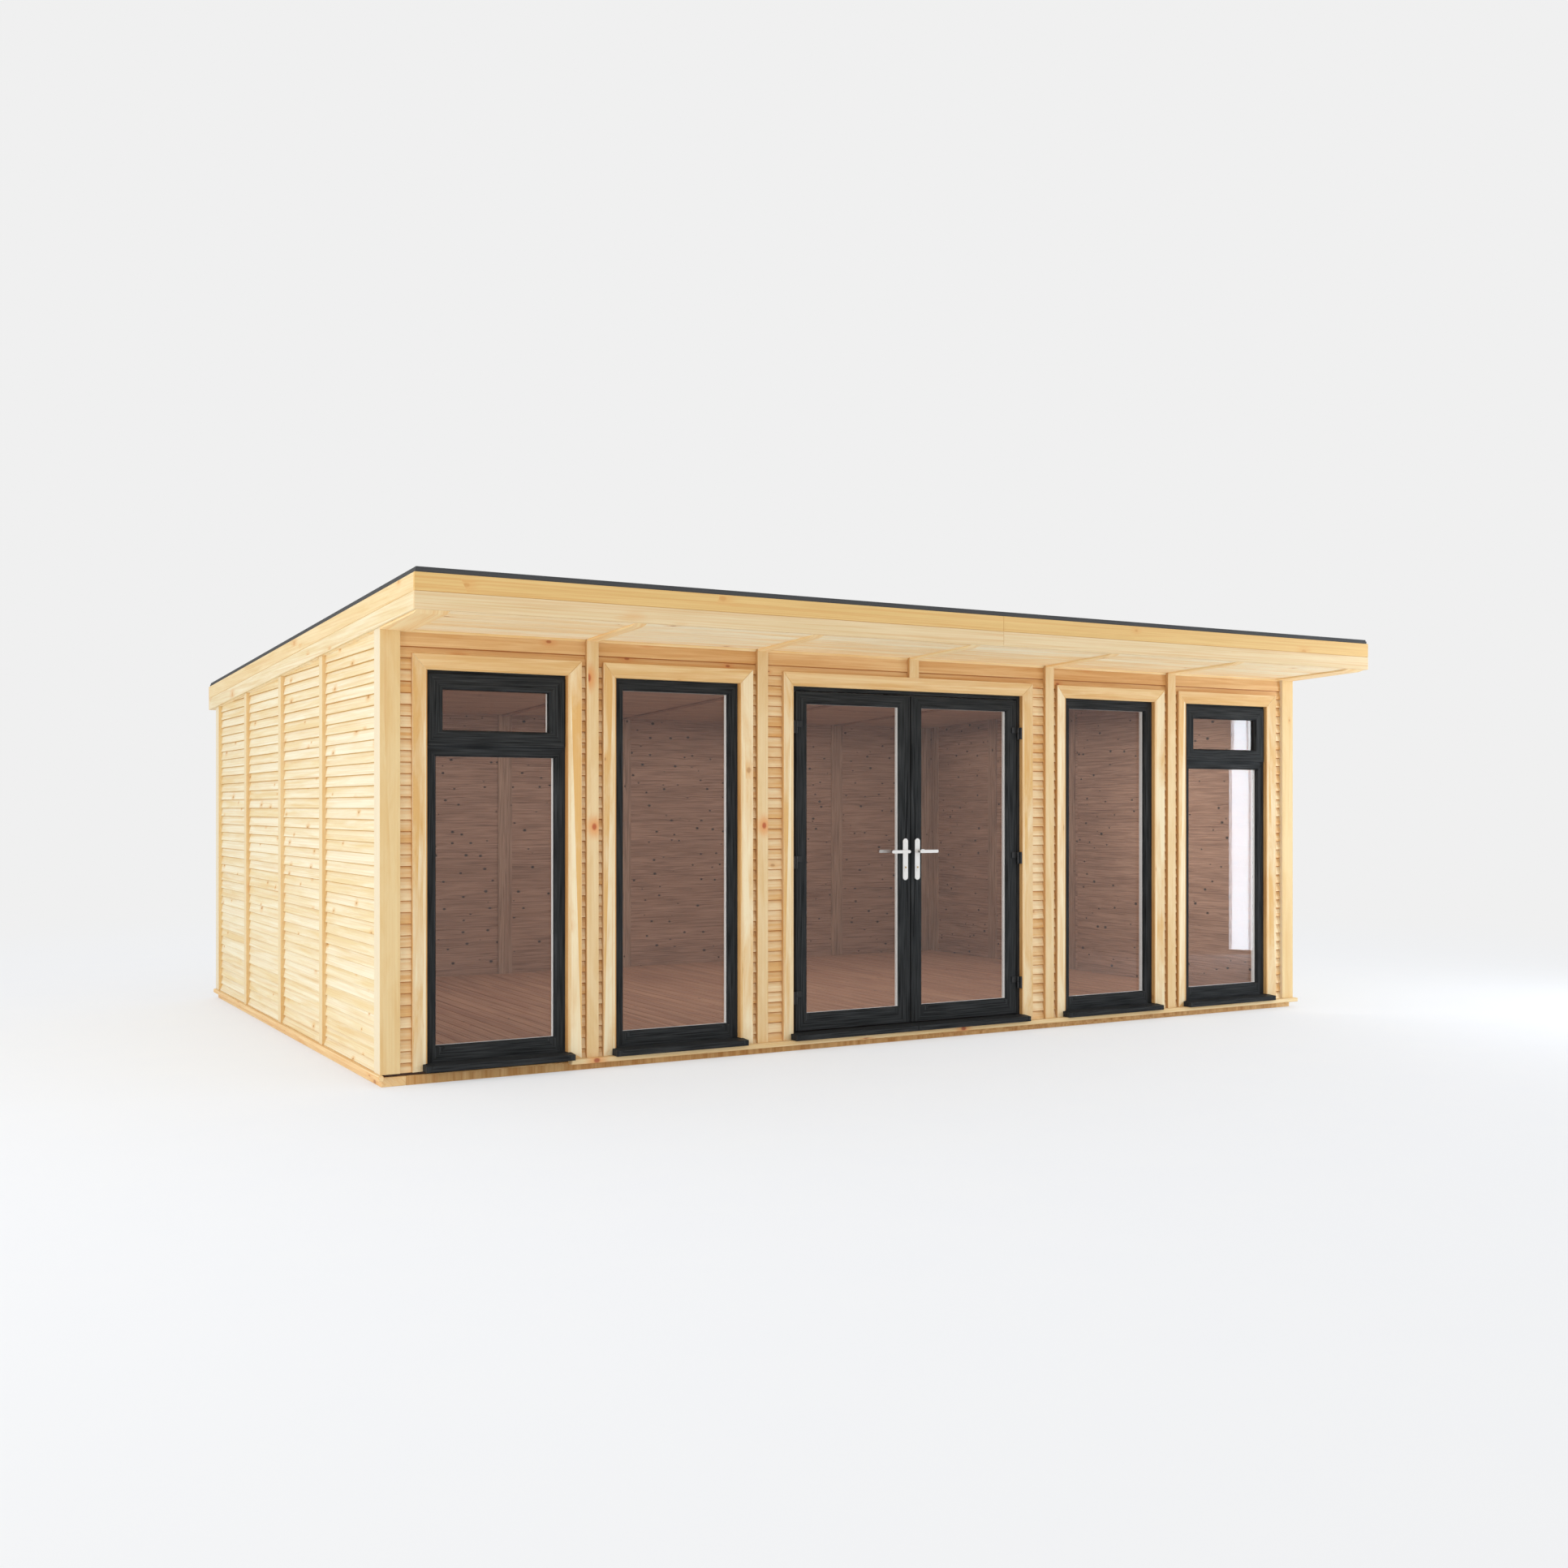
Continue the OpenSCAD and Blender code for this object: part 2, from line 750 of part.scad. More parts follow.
module back_fascia() {
  color(pine_pale) cross_fascia(roof_back - fascia_t, roof_back,
                                roof_back - joint_depth, roof_back + eps);
}

module side_fascias() {
  y0 = roof_front + fascia_t;
  y1 = roof_back - fascia_t;
  color(pine_pale) for (side = [0, 1]) mirror([side, 0, 0]) difference() {
    roof_slab(-roof_w / 2, -roof_w / 2 + fascia_t, y0, y1, 0, fascia_h);
    roof_slab(-roof_w / 2 - eps, -roof_w / 2 + joint_depth, y0 - eps, y1 + eps,
              fascia_split - joint_w / 2, fascia_split + joint_w / 2);
  }
}

// Cover battens under the front overhang, on the seams of the wall panels
module soffit_battens() {
  color(pine_pale) for (k = [1 : front_bays - 1])
    roof_slab(seam_x(k) - soffit_batten_w / 2, seam_x(k) + soffit_batten_w / 2,
              roof_front + fascia_t, y_front, -soffit_batten_drop, soffit_t - roof_bed);
}

base_end_bearers();
base_cross_bearers();
floor_deck();
end_caps();
front_back_caps();
left_wall();
right_wall();
back_wall();
front_piers();
front_header();
corner_posts();
front_battens();
left_battens();
right_battens();
back_battens();
architrave_legs();
architrave_heads();
window_frame_1();
window_frame_2();
window_frame_3();
window_frame_4();
vent_sashes();
window_panes();
vent_panes();
window_sills();
door_sill();
door_jambs();
door_stops();
door_head();
left_leaf();
right_leaf();
left_pane();
right_pane();
left_plates();
right_plates();
left_lever();
right_lever();
frame_hinges();
left_hinges();
right_hinges();
roof_panel();
roof_membrane();
front_fascia();
back_fascia();
side_fascias();
soffit_battens();
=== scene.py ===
# %% [markdown]
# The object is an insulated garden room: pine boards over panels, black window and door frames, and a
# roof that falls to the back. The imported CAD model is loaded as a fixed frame, and every visible layer
# that a joiner would nail, screw or glue on to it is built around that frame. Measuring the frame's own
# boxes is safer than repeating numbers, because the layers then sit on the solids that carry them.

# %% Load the frame
import math
import random
from functools import partial
from types import SimpleNamespace

import bmesh
import bpy
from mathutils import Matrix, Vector


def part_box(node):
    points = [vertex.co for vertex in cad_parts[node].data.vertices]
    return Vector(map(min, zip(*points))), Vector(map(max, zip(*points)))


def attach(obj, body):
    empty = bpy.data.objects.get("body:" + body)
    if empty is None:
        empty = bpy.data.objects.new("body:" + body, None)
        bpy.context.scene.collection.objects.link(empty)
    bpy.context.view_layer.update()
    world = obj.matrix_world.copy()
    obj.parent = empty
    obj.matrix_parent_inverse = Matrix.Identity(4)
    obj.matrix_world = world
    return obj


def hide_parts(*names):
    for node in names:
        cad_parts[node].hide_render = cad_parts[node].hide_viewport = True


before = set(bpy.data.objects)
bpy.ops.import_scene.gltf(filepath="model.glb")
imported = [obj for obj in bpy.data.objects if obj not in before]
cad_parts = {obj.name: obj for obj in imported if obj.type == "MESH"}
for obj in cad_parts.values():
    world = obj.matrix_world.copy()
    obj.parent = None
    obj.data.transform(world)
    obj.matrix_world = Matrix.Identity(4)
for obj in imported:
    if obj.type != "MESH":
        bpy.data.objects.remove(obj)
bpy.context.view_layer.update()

# %% [markdown]
# A material is a small network of nodes. Writing each node by hand in three lines is long, so one
# function adds a node, sets it up and wires it. An input may be a number, a socket, or a whole node, of
# which the first output in use is taken. A new material comes with that function bound to its own
# network. Colours are written as the hex values that a colour picker shows, and turned to the linear
# values that the renderer works in.


# %% Helpers for colours and nodes
def linear(hex_colour, alpha=1.0):
    channels = [int(hex_colour[i:i + 2], 16) / 255 for i in (1, 3, 5)]
    return [c / 12.92 if c <= 0.04045 else ((c + 0.055) / 1.055) ** 2.4 for c in channels] + [alpha]


def add(tree, kind, inputs=(), **settings):
    node = tree.nodes.new("ShaderNode" + kind)
    for key, value in settings.items():
        setattr(node, key, value)
    for key, value in dict(inputs).items():
        if isinstance(value, bpy.types.Node):
            value = next(socket for socket in value.outputs if socket.enabled)
        if isinstance(value, bpy.types.NodeSocket):
            tree.links.new(value, node.inputs[key])
        else:
            node.inputs[key].default_value = value
    return node


def new_material(name):
    material = bpy.data.materials.new(name)
    material.use_nodes = True
    material.node_tree.nodes.clear()
    return material, partial(add, material.node_tree)


COLOURS = {"data_type": "RGBA"}
TINT = {"data_type": "RGBA", "blend_type": "MULTIPLY"}
print("pale pine in linear values:", [round(c, 3) for c in linear("#EBCFA0")])

# %% [markdown]
# The photograph was taken level, so the uprights stay upright. The camera stands 9.4 m in front of the
# middle and 5.2 m to the left, at a height of 1.34 m. Its place and lens come from a fit of measured
# corners, and the small shift takes the horizon a little below the middle of the picture.

# %% Camera
IMAGE, FOCAL, HORIZON = 1932, 1939.8, 28.88  # pixels of the photograph
SENSOR = 36.0
cam_data = bpy.data.cameras.new("camera")
cam_data.sensor_width = SENSOR
cam_data.lens = SENSOR * FOCAL / IMAGE
cam_data.shift_y = HORIZON / IMAGE
cam_data.clip_end = 300
camera = bpy.data.objects.new("camera", cam_data)
camera.location = (-5.192, -9.357, 1.344)
camera.rotation_euler = (math.radians(90), 0, math.radians(-30.02))
bpy.context.scene.collection.objects.link(camera)
bpy.context.scene.camera = camera
bpy.context.scene.view_settings.view_transform = "Standard"
print("camera lens", round(cam_data.lens, 2), "mm")

# %% [markdown]
# The studio is a pale floor that runs out into a plain grey-white background. A bent backdrop would need
# to stand far away from a building this large, so the floor's own material fades to the background's
# colour with distance, and the world shows that same colour behind it. Near the building half of what the
# camera sees of the floor is an even glow and half is the lit paint, which keeps the shadow. Light comes
# evenly from all round, from a large softbox at the left, which makes the left side brighter than the
# front, and from a slim, slightly cool one at the right, which stands as a white bar in the last window.
# Two weak lamps inside take the place of the daylight that the unseen back of a real studio would throw
# into the room, and a card on the floor lifts the underside of the roof.

# %% Studio
BACKGROUND = "#F0F0F0"
AMBIENT = 0.87
FADE_FROM, FADE_TO = 4.5, 12.0
EVEN_SHARE = 0.5
FLOOR_RADIUS, FLOOR_SIDES = 60, 64


def seen_rays(node):
    path = node("LightPath").outputs
    seen = node("Math", {0: path["Is Camera Ray"], 1: path["Is Glossy Ray"]}, operation="MAXIMUM")
    return node("Math", {0: seen, 1: path["Is Transmission Ray"]}, operation="MAXIMUM")


world = bpy.data.worlds.new("studio")
bpy.context.scene.world = world
world.use_nodes = True
world.node_tree.nodes.clear()
node = partial(add, world.node_tree)
seen = seen_rays(node)
lit = node("Background", {"Color": linear("#FFFFFF"), "Strength": AMBIENT})
shown = node("Background", {"Color": linear(BACKGROUND), "Strength": 1.0})
mixed = node("MixShader", {0: seen, 1: lit, 2: shown})
node("OutputWorld", {"Surface": mixed})

floor_paint, node = new_material("matt_white_studio_floor")
place = node("TexCoord").outputs["Object"]
away = node("VectorMath", {0: place}, operation="LENGTH").outputs["Value"]
fade = node("MapRange", {"Value": away, "From Min": FADE_FROM, "From Max": FADE_TO},
            interpolation_type="SMOOTHSTEP")
grit = node("TexNoise", {"Vector": place, "Scale": 3.0, "Detail": 3.0})
tone = node("Mix", {0: grit, 6: linear("#F4F8FF"), 7: linear("#F8FBFF")}, **COLOURS)
matt = node("BsdfPrincipled", {"Base Color": tone, "Roughness": 0.9, "IOR": 1.45})
seen = seen_rays(node)
half = node("Math", {0: seen, 1: EVEN_SHARE}, operation="MULTIPLY")
glow = node("Emission", {"Color": linear("#F6F6F6"), "Strength": 1.0})
even = node("MixShader", {0: half, 1: matt, 2: glow})
far = node("Emission", {"Color": linear(BACKGROUND), "Strength": 1.0})
mixed = node("MixShader", {0: fade, 1: even, 2: far})
node("OutputMaterial", {"Surface": mixed})

turns = [2 * math.pi * i / FLOOR_SIDES for i in range(FLOOR_SIDES)]
rim = [(FLOOR_RADIUS * math.cos(a), FLOOR_RADIUS * math.sin(a), 0) for a in turns]
floor_mesh = bpy.data.meshes.new("studio_floor")
floor_mesh.from_pydata(rim, [], [list(range(FLOOR_SIDES))])
floor = bpy.data.objects.new("studio_floor", floor_mesh)
floor_mesh.materials.append(floor_paint)
bpy.context.scene.collection.objects.link(floor)


def softbox(name, at, towards, width, height, radiance, in_glass=True, spread=180, tint="#FFFFFF"):
    data = bpy.data.lights.new(name, "AREA")
    data.shape = "RECTANGLE"
    data.size, data.size_y = width, height
    data.energy = radiance * math.pi * width * height
    data.spread = math.radians(spread)
    data.color = linear(tint)[:3]
    lamp = bpy.data.objects.new(name, data)
    lamp.location = at
    lamp.rotation_euler = (Vector(towards) - Vector(at)).to_track_quat("-Z", "Y").to_euler()
    lamp.visible_camera = False
    lamp.visible_glossy = lamp.visible_transmission = in_glass
    bpy.context.scene.collection.objects.link(lamp)
    print(name, round(data.energy, 1), "W")


softbox("key_softbox", (-10.5, -4.2, 2.4), (-1.5, -0.5, 1.0), 6.0, 4.5, 3.0)
softbox("strip_softbox", (5.83, -4.45, 1.69), (2.5, -1.2, 1.69), 0.7, 3.3, 12.6, tint="#E8F3FF")
softbox("room_lamp", (0.0, 0.2, 2.02), (0.0, 0.2, 0.0), 5.6, 3.2, 0.66, in_glass=False)
softbox("end_wall_lamp", (1.5, -0.9, 1.9), (3.0, -1.2, 1.0), 0.9, 0.9, 1.4, in_glass=False, spread=80)
softbox("bounce_card", (0.0, -2.26, 0.03), (0.0, -2.26, 2.0), 6.3, 0.5, 0.32, in_glass=False, spread=50)

# %% [markdown]
# The faces of the building are read from the frame: the posts give the outer faces, the fascias give the
# fall of the roof. A glued-up solid arrives as loose faces, so its separate pieces are found by joining
# points that lie together and walking along the edges. They are sorted, so each run gives the same order.

# %% Faces of the building
post_lo, post_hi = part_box("corner_posts")
fascia_lo, fascia_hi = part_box("front_fascia")
rear_lo, rear_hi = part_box("back_fascia")
header_lo, header_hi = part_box("front_header")
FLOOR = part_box("floor_deck")[1].z
PANEL = header_lo.y - post_lo.y
WALL = header_hi.y - post_lo.y
FALL = (fascia_lo.z - rear_lo.z) / (rear_hi.y - fascia_hi.y)
BOARD = 0.012
SEAMS = [-2.0, -1.0, 0.0, 1.0, 2.0]
COURSE = 0.056
TOP_COURSE = 2.121
LAP_GAP = 0.004


def soffit_z(y):
    return fascia_lo.z - (y - fascia_hi.y) * FALL


def solids(node):
    bm = bmesh.new()
    bm.from_mesh(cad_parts[node].data)
    bmesh.ops.remove_doubles(bm, verts=bm.verts, dist=1e-5)
    left, boxes = set(bm.verts), []
    while left:
        queue, found = [left.pop()], []
        while queue:
            vert = queue.pop()
            found.append(vert.co.copy())
            for edge in vert.link_edges:
                other = edge.other_vert(vert)
                if other in left:
                    left.remove(other)
                    queue.append(other)
        boxes.append((Vector(min(p[i] for p in found) for i in range(3)),
                      Vector(max(p[i] for p in found) for i in range(3))))
    bm.free()
    return sorted(boxes, key=lambda b: (round(b[0].x, 4), b[0].z, b[0].y))


print("fall of the roof", round(FALL, 4), "soffit at the front wall", round(soffit_z(post_lo.y), 4))

# %% [markdown]
# Planed pine is pale sapwood with warmer heartwood streaks that run along the board, and red-brown knots
# with an orange halo that the grain bends round. Each board comes from another place in a log, so the
# pattern is shifted by a random value for every separate board. All of it is drawn in two coordinates,
# along the grain and across it: the streaks are noise that is stretched along the grain, and the knots
# are points of a Voronoi pattern, of which only some are kept. Growth rings are 2 to 4 mm wide: the camera
# can't show that, so they are drawn 9 mm wide with little contrast.

# %% Planed pine
BEND = 0.014
BOARD_SHIFT = 61.7
KNOT_LEAST, KNOT_MOST = 0.45, 1.35
CORE_EDGE, HALO_EDGE = (0.03, 0.08), (0.04, 0.28)
STREAK_EDGE, LINE_EDGE = (0.36, 0.68), (0.42, 0.75)
SIDE_EDGE, SIDE_SHARE = (0.5, 0.9), 0.75
UPPER_BOARD = 0.081
LAP_SHADE_REACH = LAP_GAP + 0.0003
MARK_CELL = (0.30, 0.22)
PINE = {
    "vary": 0.3, "streak": (0.70, 0.045), "ring": (1.50, 0.009), "figure": 0.36, "line": "#E6B67A",
    "knots": 0.15, "cell": (0.26, 0.16), "size": 1.0, "dark": "#A8703C", "depth": 0.6,
    "halo": "#DFA662", "glow": 0.45, "marks": (), "upper": None, "bleach": None, "laps": None,
}


def planed_pine(name, grain, sap, heart, **own_look):
    look = SimpleNamespace(**{**PINE, **own_look})
    material, node = new_material(name)
    place = node("TexCoord").outputs
    axes = node("SeparateXYZ", {0: place["Object"]}).outputs
    along = axes[grain]
    across = node("Math", dict(enumerate(axes[a] for a in "XYZ" if a != grain)))
    board = node("NewGeometry").outputs["Random Per Island"]

    def on_board(size, side):
        shift = node("Math", {0: board, 1: BOARD_SHIFT}, operation="MULTIPLY")
        a = node("Math", {0: along, 1: 1 / size[0], 2: shift}, operation="MULTIPLY_ADD")
        b = node("Math", {0: side, 1: 1 / size[1], 2: shift}, operation="MULTIPLY_ADD")
        return node("CombineXYZ", {0: a, 1: b, 2: shift})

    cell = node("TexVoronoi", {"Vector": on_board(look.cell, across), "Scale": 1.0},
                voronoi_dimensions="2D")
    chance = node("SeparateColor", {0: cell.outputs["Color"]}).outputs
    scale = node("MapRange", {"Value": chance[1], "To Min": KNOT_LEAST * look.size,
                              "To Max": KNOT_MOST * look.size})
    near = node("Math", {0: cell.outputs["Distance"], 1: scale}, operation="DIVIDE")
    left_out = node("Math", {0: chance[0], 1: look.knots}, operation="GREATER_THAN")
    near = node("Math", {0: near, 1: left_out}, operation="ADD")
    for mark in look.marks:
        apart = node("CombineXYZ", {0: along, 1: across})
        apart = node("VectorMath", {0: apart, 1: (*mark, 0)}, operation="SUBTRACT")
        apart = node("VectorMath", {0: apart, 1: (*MARK_CELL, 1)}, operation="DIVIDE")
        apart = node("VectorMath", {0: apart}, operation="LENGTH").outputs["Value"]
        near = node("Math", {0: near, 1: apart}, operation="MINIMUM")
    core, halo = (
        node("MapRange", {"Value": near, "From Min": edge[0], "From Max": edge[1],
                          "To Min": most, "To Max": 0.0}, interpolation_type="SMOOTHSTEP")
        for edge, most in ((CORE_EDGE, look.depth), (HALO_EDGE, look.glow)))

    bent = node("Math", {0: halo, 1: BEND, 2: across}, operation="MULTIPLY_ADD")
    streak = node("TexNoise", {"Vector": on_board(look.streak, bent), "Scale": 1.0,
                               "Detail": 5.0, "Roughness": 0.62, "Distortion": 0.5})
    ring = node("TexNoise", {"Vector": on_board(look.ring, bent), "Scale": 1.0, "Detail": 2.0,
                             "Distortion": 0.8})
    shade = node("MapRange", {"Value": streak, "From Min": STREAK_EDGE[0], "From Max": STREAK_EDGE[1]})
    own = node("MapRange", {"Value": board, "To Min": -look.vary, "To Max": look.vary})
    warm = node("Math", {0: shade, 1: own}, operation="ADD", use_clamp=True)
    wood = node("Mix", {0: warm, 6: linear(sap), 7: linear(heart)}, **COLOURS)
    if look.upper:
        height = node("Math", {0: axes["Y"], 1: FALL, 2: axes["Z"]}, operation="MULTIPLY_ADD")
        joint = fascia_lo.z + FALL * fascia_hi.y + UPPER_BOARD
        above = node("Math", {0: height, 1: joint}, operation="GREATER_THAN")
        wood = node("Mix", {0: above, 6: wood, 7: linear(look.upper)}, **TINT)
    lines = node("MapRange", {"Value": ring, "From Min": LINE_EDGE[0], "From Max": LINE_EDGE[1],
                              "To Max": look.figure})
    wood = node("Mix", {0: lines, 6: wood, 7: linear(look.line)}, **TINT)
    if look.halo:
        wood = node("Mix", {0: halo, 6: wood, 7: linear(look.halo)}, **COLOURS)
    # painted shade: a darker tint in the slot under each weatherboard lip, up to the top course
    if look.laps:
        course = node("Math", {0: axes["Z"], 1: -1 / COURSE, 2: TOP_COURSE / COURSE},
                      operation="MULTIPLY_ADD")
        course = node("Math", {0: course}, operation="FRACT")
        painted_lap_shade_mask = node("Math", {0: course, 1: 1 - LAP_SHADE_REACH / COURSE}, operation="GREATER_THAN")
        below = node("Math", {0: axes["Z"], 1: TOP_COURSE + COURSE / 2}, operation="LESS_THAN")
        painted_lap_shade_mask = node("Math", {0: painted_lap_shade_mask, 1: below}, operation="MULTIPLY")
        wood = node("Mix", {0: painted_lap_shade_mask, 6: wood, 7: linear(look.laps)}, **TINT)
    # painted light and shade: faces turned along X get their own colour, paler where they are the lit side,
    # darker and more orange where they stand in shade
    if look.bleach:
        facing = node("SeparateXYZ", {0: place["Normal"]}).outputs["X"]
        facing = node("Math", {0: facing}, operation="ABSOLUTE")
        side = node("MapRange", {"Value": facing, "From Min": SIDE_EDGE[0], "From Max": SIDE_EDGE[1],
                                 "To Max": SIDE_SHARE})
        wood = node("Mix", {0: side, 6: wood, 7: linear(look.bleach)}, **COLOURS)
    wood = node("Mix", {0: core, 6: wood, 7: linear(look.dark)}, **COLOURS)

    worn = node("MapRange", {"Value": streak, "To Min": 0.70, "To Max": 0.52})
    bump = node("Bump", {"Height": ring, "Strength": 0.25, "Distance": 0.001})
    surface = node("BsdfPrincipled", {"Base Color": wood, "Roughness": worn, "IOR": 1.45,
                                      "Normal": bump})
    node("OutputMaterial", {"Surface": surface})
    return material


print("usual values of the pine:", sorted(PINE))

# %% [markdown]
# The same pine serves all timber, and each use has its own cut. Boards and battens are knotty, trim is
# picked for clear wood with soft, cloudy figure, and the lining inside has fine dark lines and many small
# black knots. Two front battens carry one large red knot each at breast height, and the front cap board
# carries two, so those four are listed one by one.

# %% Cuts of pine
CLOUDY = {"streak": (0.50, 0.11), "figure": 0.2}
KNOTTY = {"knots": 0.24, "size": 0.8, "dark": "#A86A1E", "depth": 0.7, "halo": "#E2AC58", "glow": 0.55}
BATTEN = {"vary": 0.2, "knots": 0.06, "size": 1.1, "dark": "#B4502A", "depth": 0.85, "halo": "#E0924C",
          "glow": 0.75, **CLOUDY}
FASCIA = {"vary": 0.1, "knots": 0.2, "size": 1.6, "dark": "#C98A45", "depth": 0.45}
batten_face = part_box("front_battens")[0].y
BATTEN_KNOTS = [(1.245, -1.992 + batten_face), (1.245, -0.992 + batten_face)]
cap_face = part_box("front_back_caps")[0].y
CAP_KNOTS = [(-1.99, cap_face + 0.05), (0.33, cap_face + 0.05)]
LINING_LOOK = {"vary": 0.08, "streak": (0.9, 0.12), "ring": (0.30, 0.006), "figure": 0.8, "line": "#8A7064",
               "cell": (0.17, 0.12), "size": 1.1, "dark": "#2A1C14", "depth": 0.95, "halo": None}

# the lap colours given below paint shade into the slot under each weatherboard lip
boards_x = planed_pine("planed_pine_boards_along_x", "X", "#F8E2B6", "#E5B878", vary=0.4, laps="#D0A670")
boards_y = planed_pine("planed_pine_boards_along_y", "Y", "#F3EBCE", "#EAD4A0", laps="#E4C898", **KNOTTY)
rear_x = planed_pine("planed_pine_back_boards_along_x", "X", "#F2E6C4", "#E8D09A", laps="#E4C898", **KNOTTY)
# painted shade: the top two front courses are darker and oranger, as the overhang shades them; their
# red-brown knots are the wood's own
knotty_shaded_header_x = planed_pine("planed_pine_header_boards_knotty_painted_shade_along_x", "X", "#ECC892", "#D8A668", knots=0.5, size=0.9,
                       dark="#A0522A", depth=0.75, halo="#D4894A", laps="#D0A670")
cap_x = planed_pine("planed_pine_front_caps_along_x", "X", "#EAD2A4", "#DDBB80", dark="#A04A2A", depth=0.85,
                    halo="#DC9450", glow=0.7, marks=CAP_KNOTS)
trim_y = planed_pine("planed_pine_trim_along_y", "Y", "#FCE6B6", "#F4CC8E")
strip_x = planed_pine("planed_pine_corner_strips_along_x", "X", "#F8E2B0", "#EEC98A")
cap_y = planed_pine("planed_pine_end_caps_along_y", "Y", "#F4D8A4", "#E4B676", knots=0.2, size=1.4,
                    dark="#9A4E26")
# painted light: the faces of the posts turned along X are paler, as lit faces
trim_z = planed_pine("planed_pine_trim_along_z", "Z", "#E7CC97", "#DFBA7C", knots=0.05, bleach="#E8DFC6",
                     **CLOUDY)
# painted light: faces of these battens turned along X are paler than their other faces
batten_z = planed_pine("planed_pine_battens_along_z", "Z", "#E9CFA0", "#DDB87C", bleach="#E8D6AC", **BATTEN)
# painted shade: the sides of the front battens, in the recesses by the architraves, are darker and more
# orange
front_batten_z = planed_pine("planed_pine_front_battens_along_z", "Z", "#E9CFA0", "#DDB87C", bleach="#C08E54",
                             marks=BATTEN_KNOTS, **BATTEN)
# painted shade: darker, redder pine for the shade in the recess of each opening
shaded_reveal_z = planed_pine("planed_pine_reveal_lining_painted_shade_along_z", "Z", "#D8AA6C", "#C08A4C", knots=0.1, **CLOUDY)
architrave_x = planed_pine("moulded_pine_architrave_along_x", "X", "#EACC98", "#D9AC68", knots=0.1)
# painted shade: the sides of the architrave legs turned along X are darker and more orange
architrave_z = planed_pine("moulded_pine_architrave_along_z", "Z", "#F3E3BE", "#E0B470", vary=-0.4, knots=0.1,
                           bleach="#C08E54", **CLOUDY)
bearer_z = planed_pine("sawn_pine_bearers_along_z", "Z", "#E4BE84", "#C08C4C", knots=0.3, dark="#7A4420")
soffit_x = planed_pine("planed_pine_soffit_along_x", "X", "#FCF0D0", "#F6D49C", knots=0.05, figure=0.2)
lining_x = planed_pine("planed_pine_lining_along_x", "X", "#C39B80", "#AE866B", knots=0.9, **LINING_LOOK)
lining_y = planed_pine("planed_pine_lining_along_y", "Y", "#C39B80", "#AE866B", knots=0.9, **LINING_LOOK)
lining_z = planed_pine("planed_pine_lining_along_z", "Z", "#C19F83", "#B18C72", knots=0.2, **LINING_LOOK)
ceiling_x = planed_pine("planed_pine_ceiling_along_x", "X", "#D9BBA1", "#C4A38A", knots=0.2, **LINING_LOOK)
floor_y = planed_pine("sanded_pine_floor_along_y", "Y", "#C8997A", "#B58467", knots=0.1,
                      **{**LINING_LOOK, "vary": 0.2, "ring": (0.9, 0.016), "figure": 0.5})
# painted shade: the deck is near black, so its edge shows as the dark shadow gap under the walls
painted_shade_deck_y = planed_pine("sawn_pine_deck_dark_painted_shade", "Y", "#5A3E2C", "#3E2A1E")
fascia_x = planed_pine("planed_pine_fascia_along_x", "X", "#EAD3A8", "#E2C898", figure=0.45, upper="#FDEDC6",
                       **FASCIA)
fascia_y = planed_pine("planed_pine_fascia_along_y", "Y", "#F0E4C2", "#E4CE9C", upper="#FFF6E6", **FASCIA)
print("pine finishes:", sum("pine" in m.name for m in bpy.data.materials))

# %% [markdown]
# The window and door frames are extruded uPVC with a black foil, embossed with a fine grain that runs along
# each bar and turns at the mitred corners, so they are nearly black with a soft, streaky sheen. One
# recipe serves all frames: it finds out how far a point is from the nearest upright edge and from the
# nearest level edge, and the nearer one gives the direction of the grain. The emboss is under 1 mm wide:
# it is drawn 6 mm wide. The foil covers only the outside: behind the glass the profile keeps its white,
# which shows as a bright line along the edges of the panes.

# %% Black uPVC foil
GRAIN = (0.25, 0.006, 1.0)
frame_lo, frame_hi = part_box("window_frame_2")
VENT_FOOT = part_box("vent_sashes")[0].z
FIRST_VENT = 2.0
HALF_WINDOW = (frame_hi.x - frame_lo.x) / 2
HALF_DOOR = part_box("door_jambs")[1].x
PAST_DOOR = HALF_DOOR + 0.05


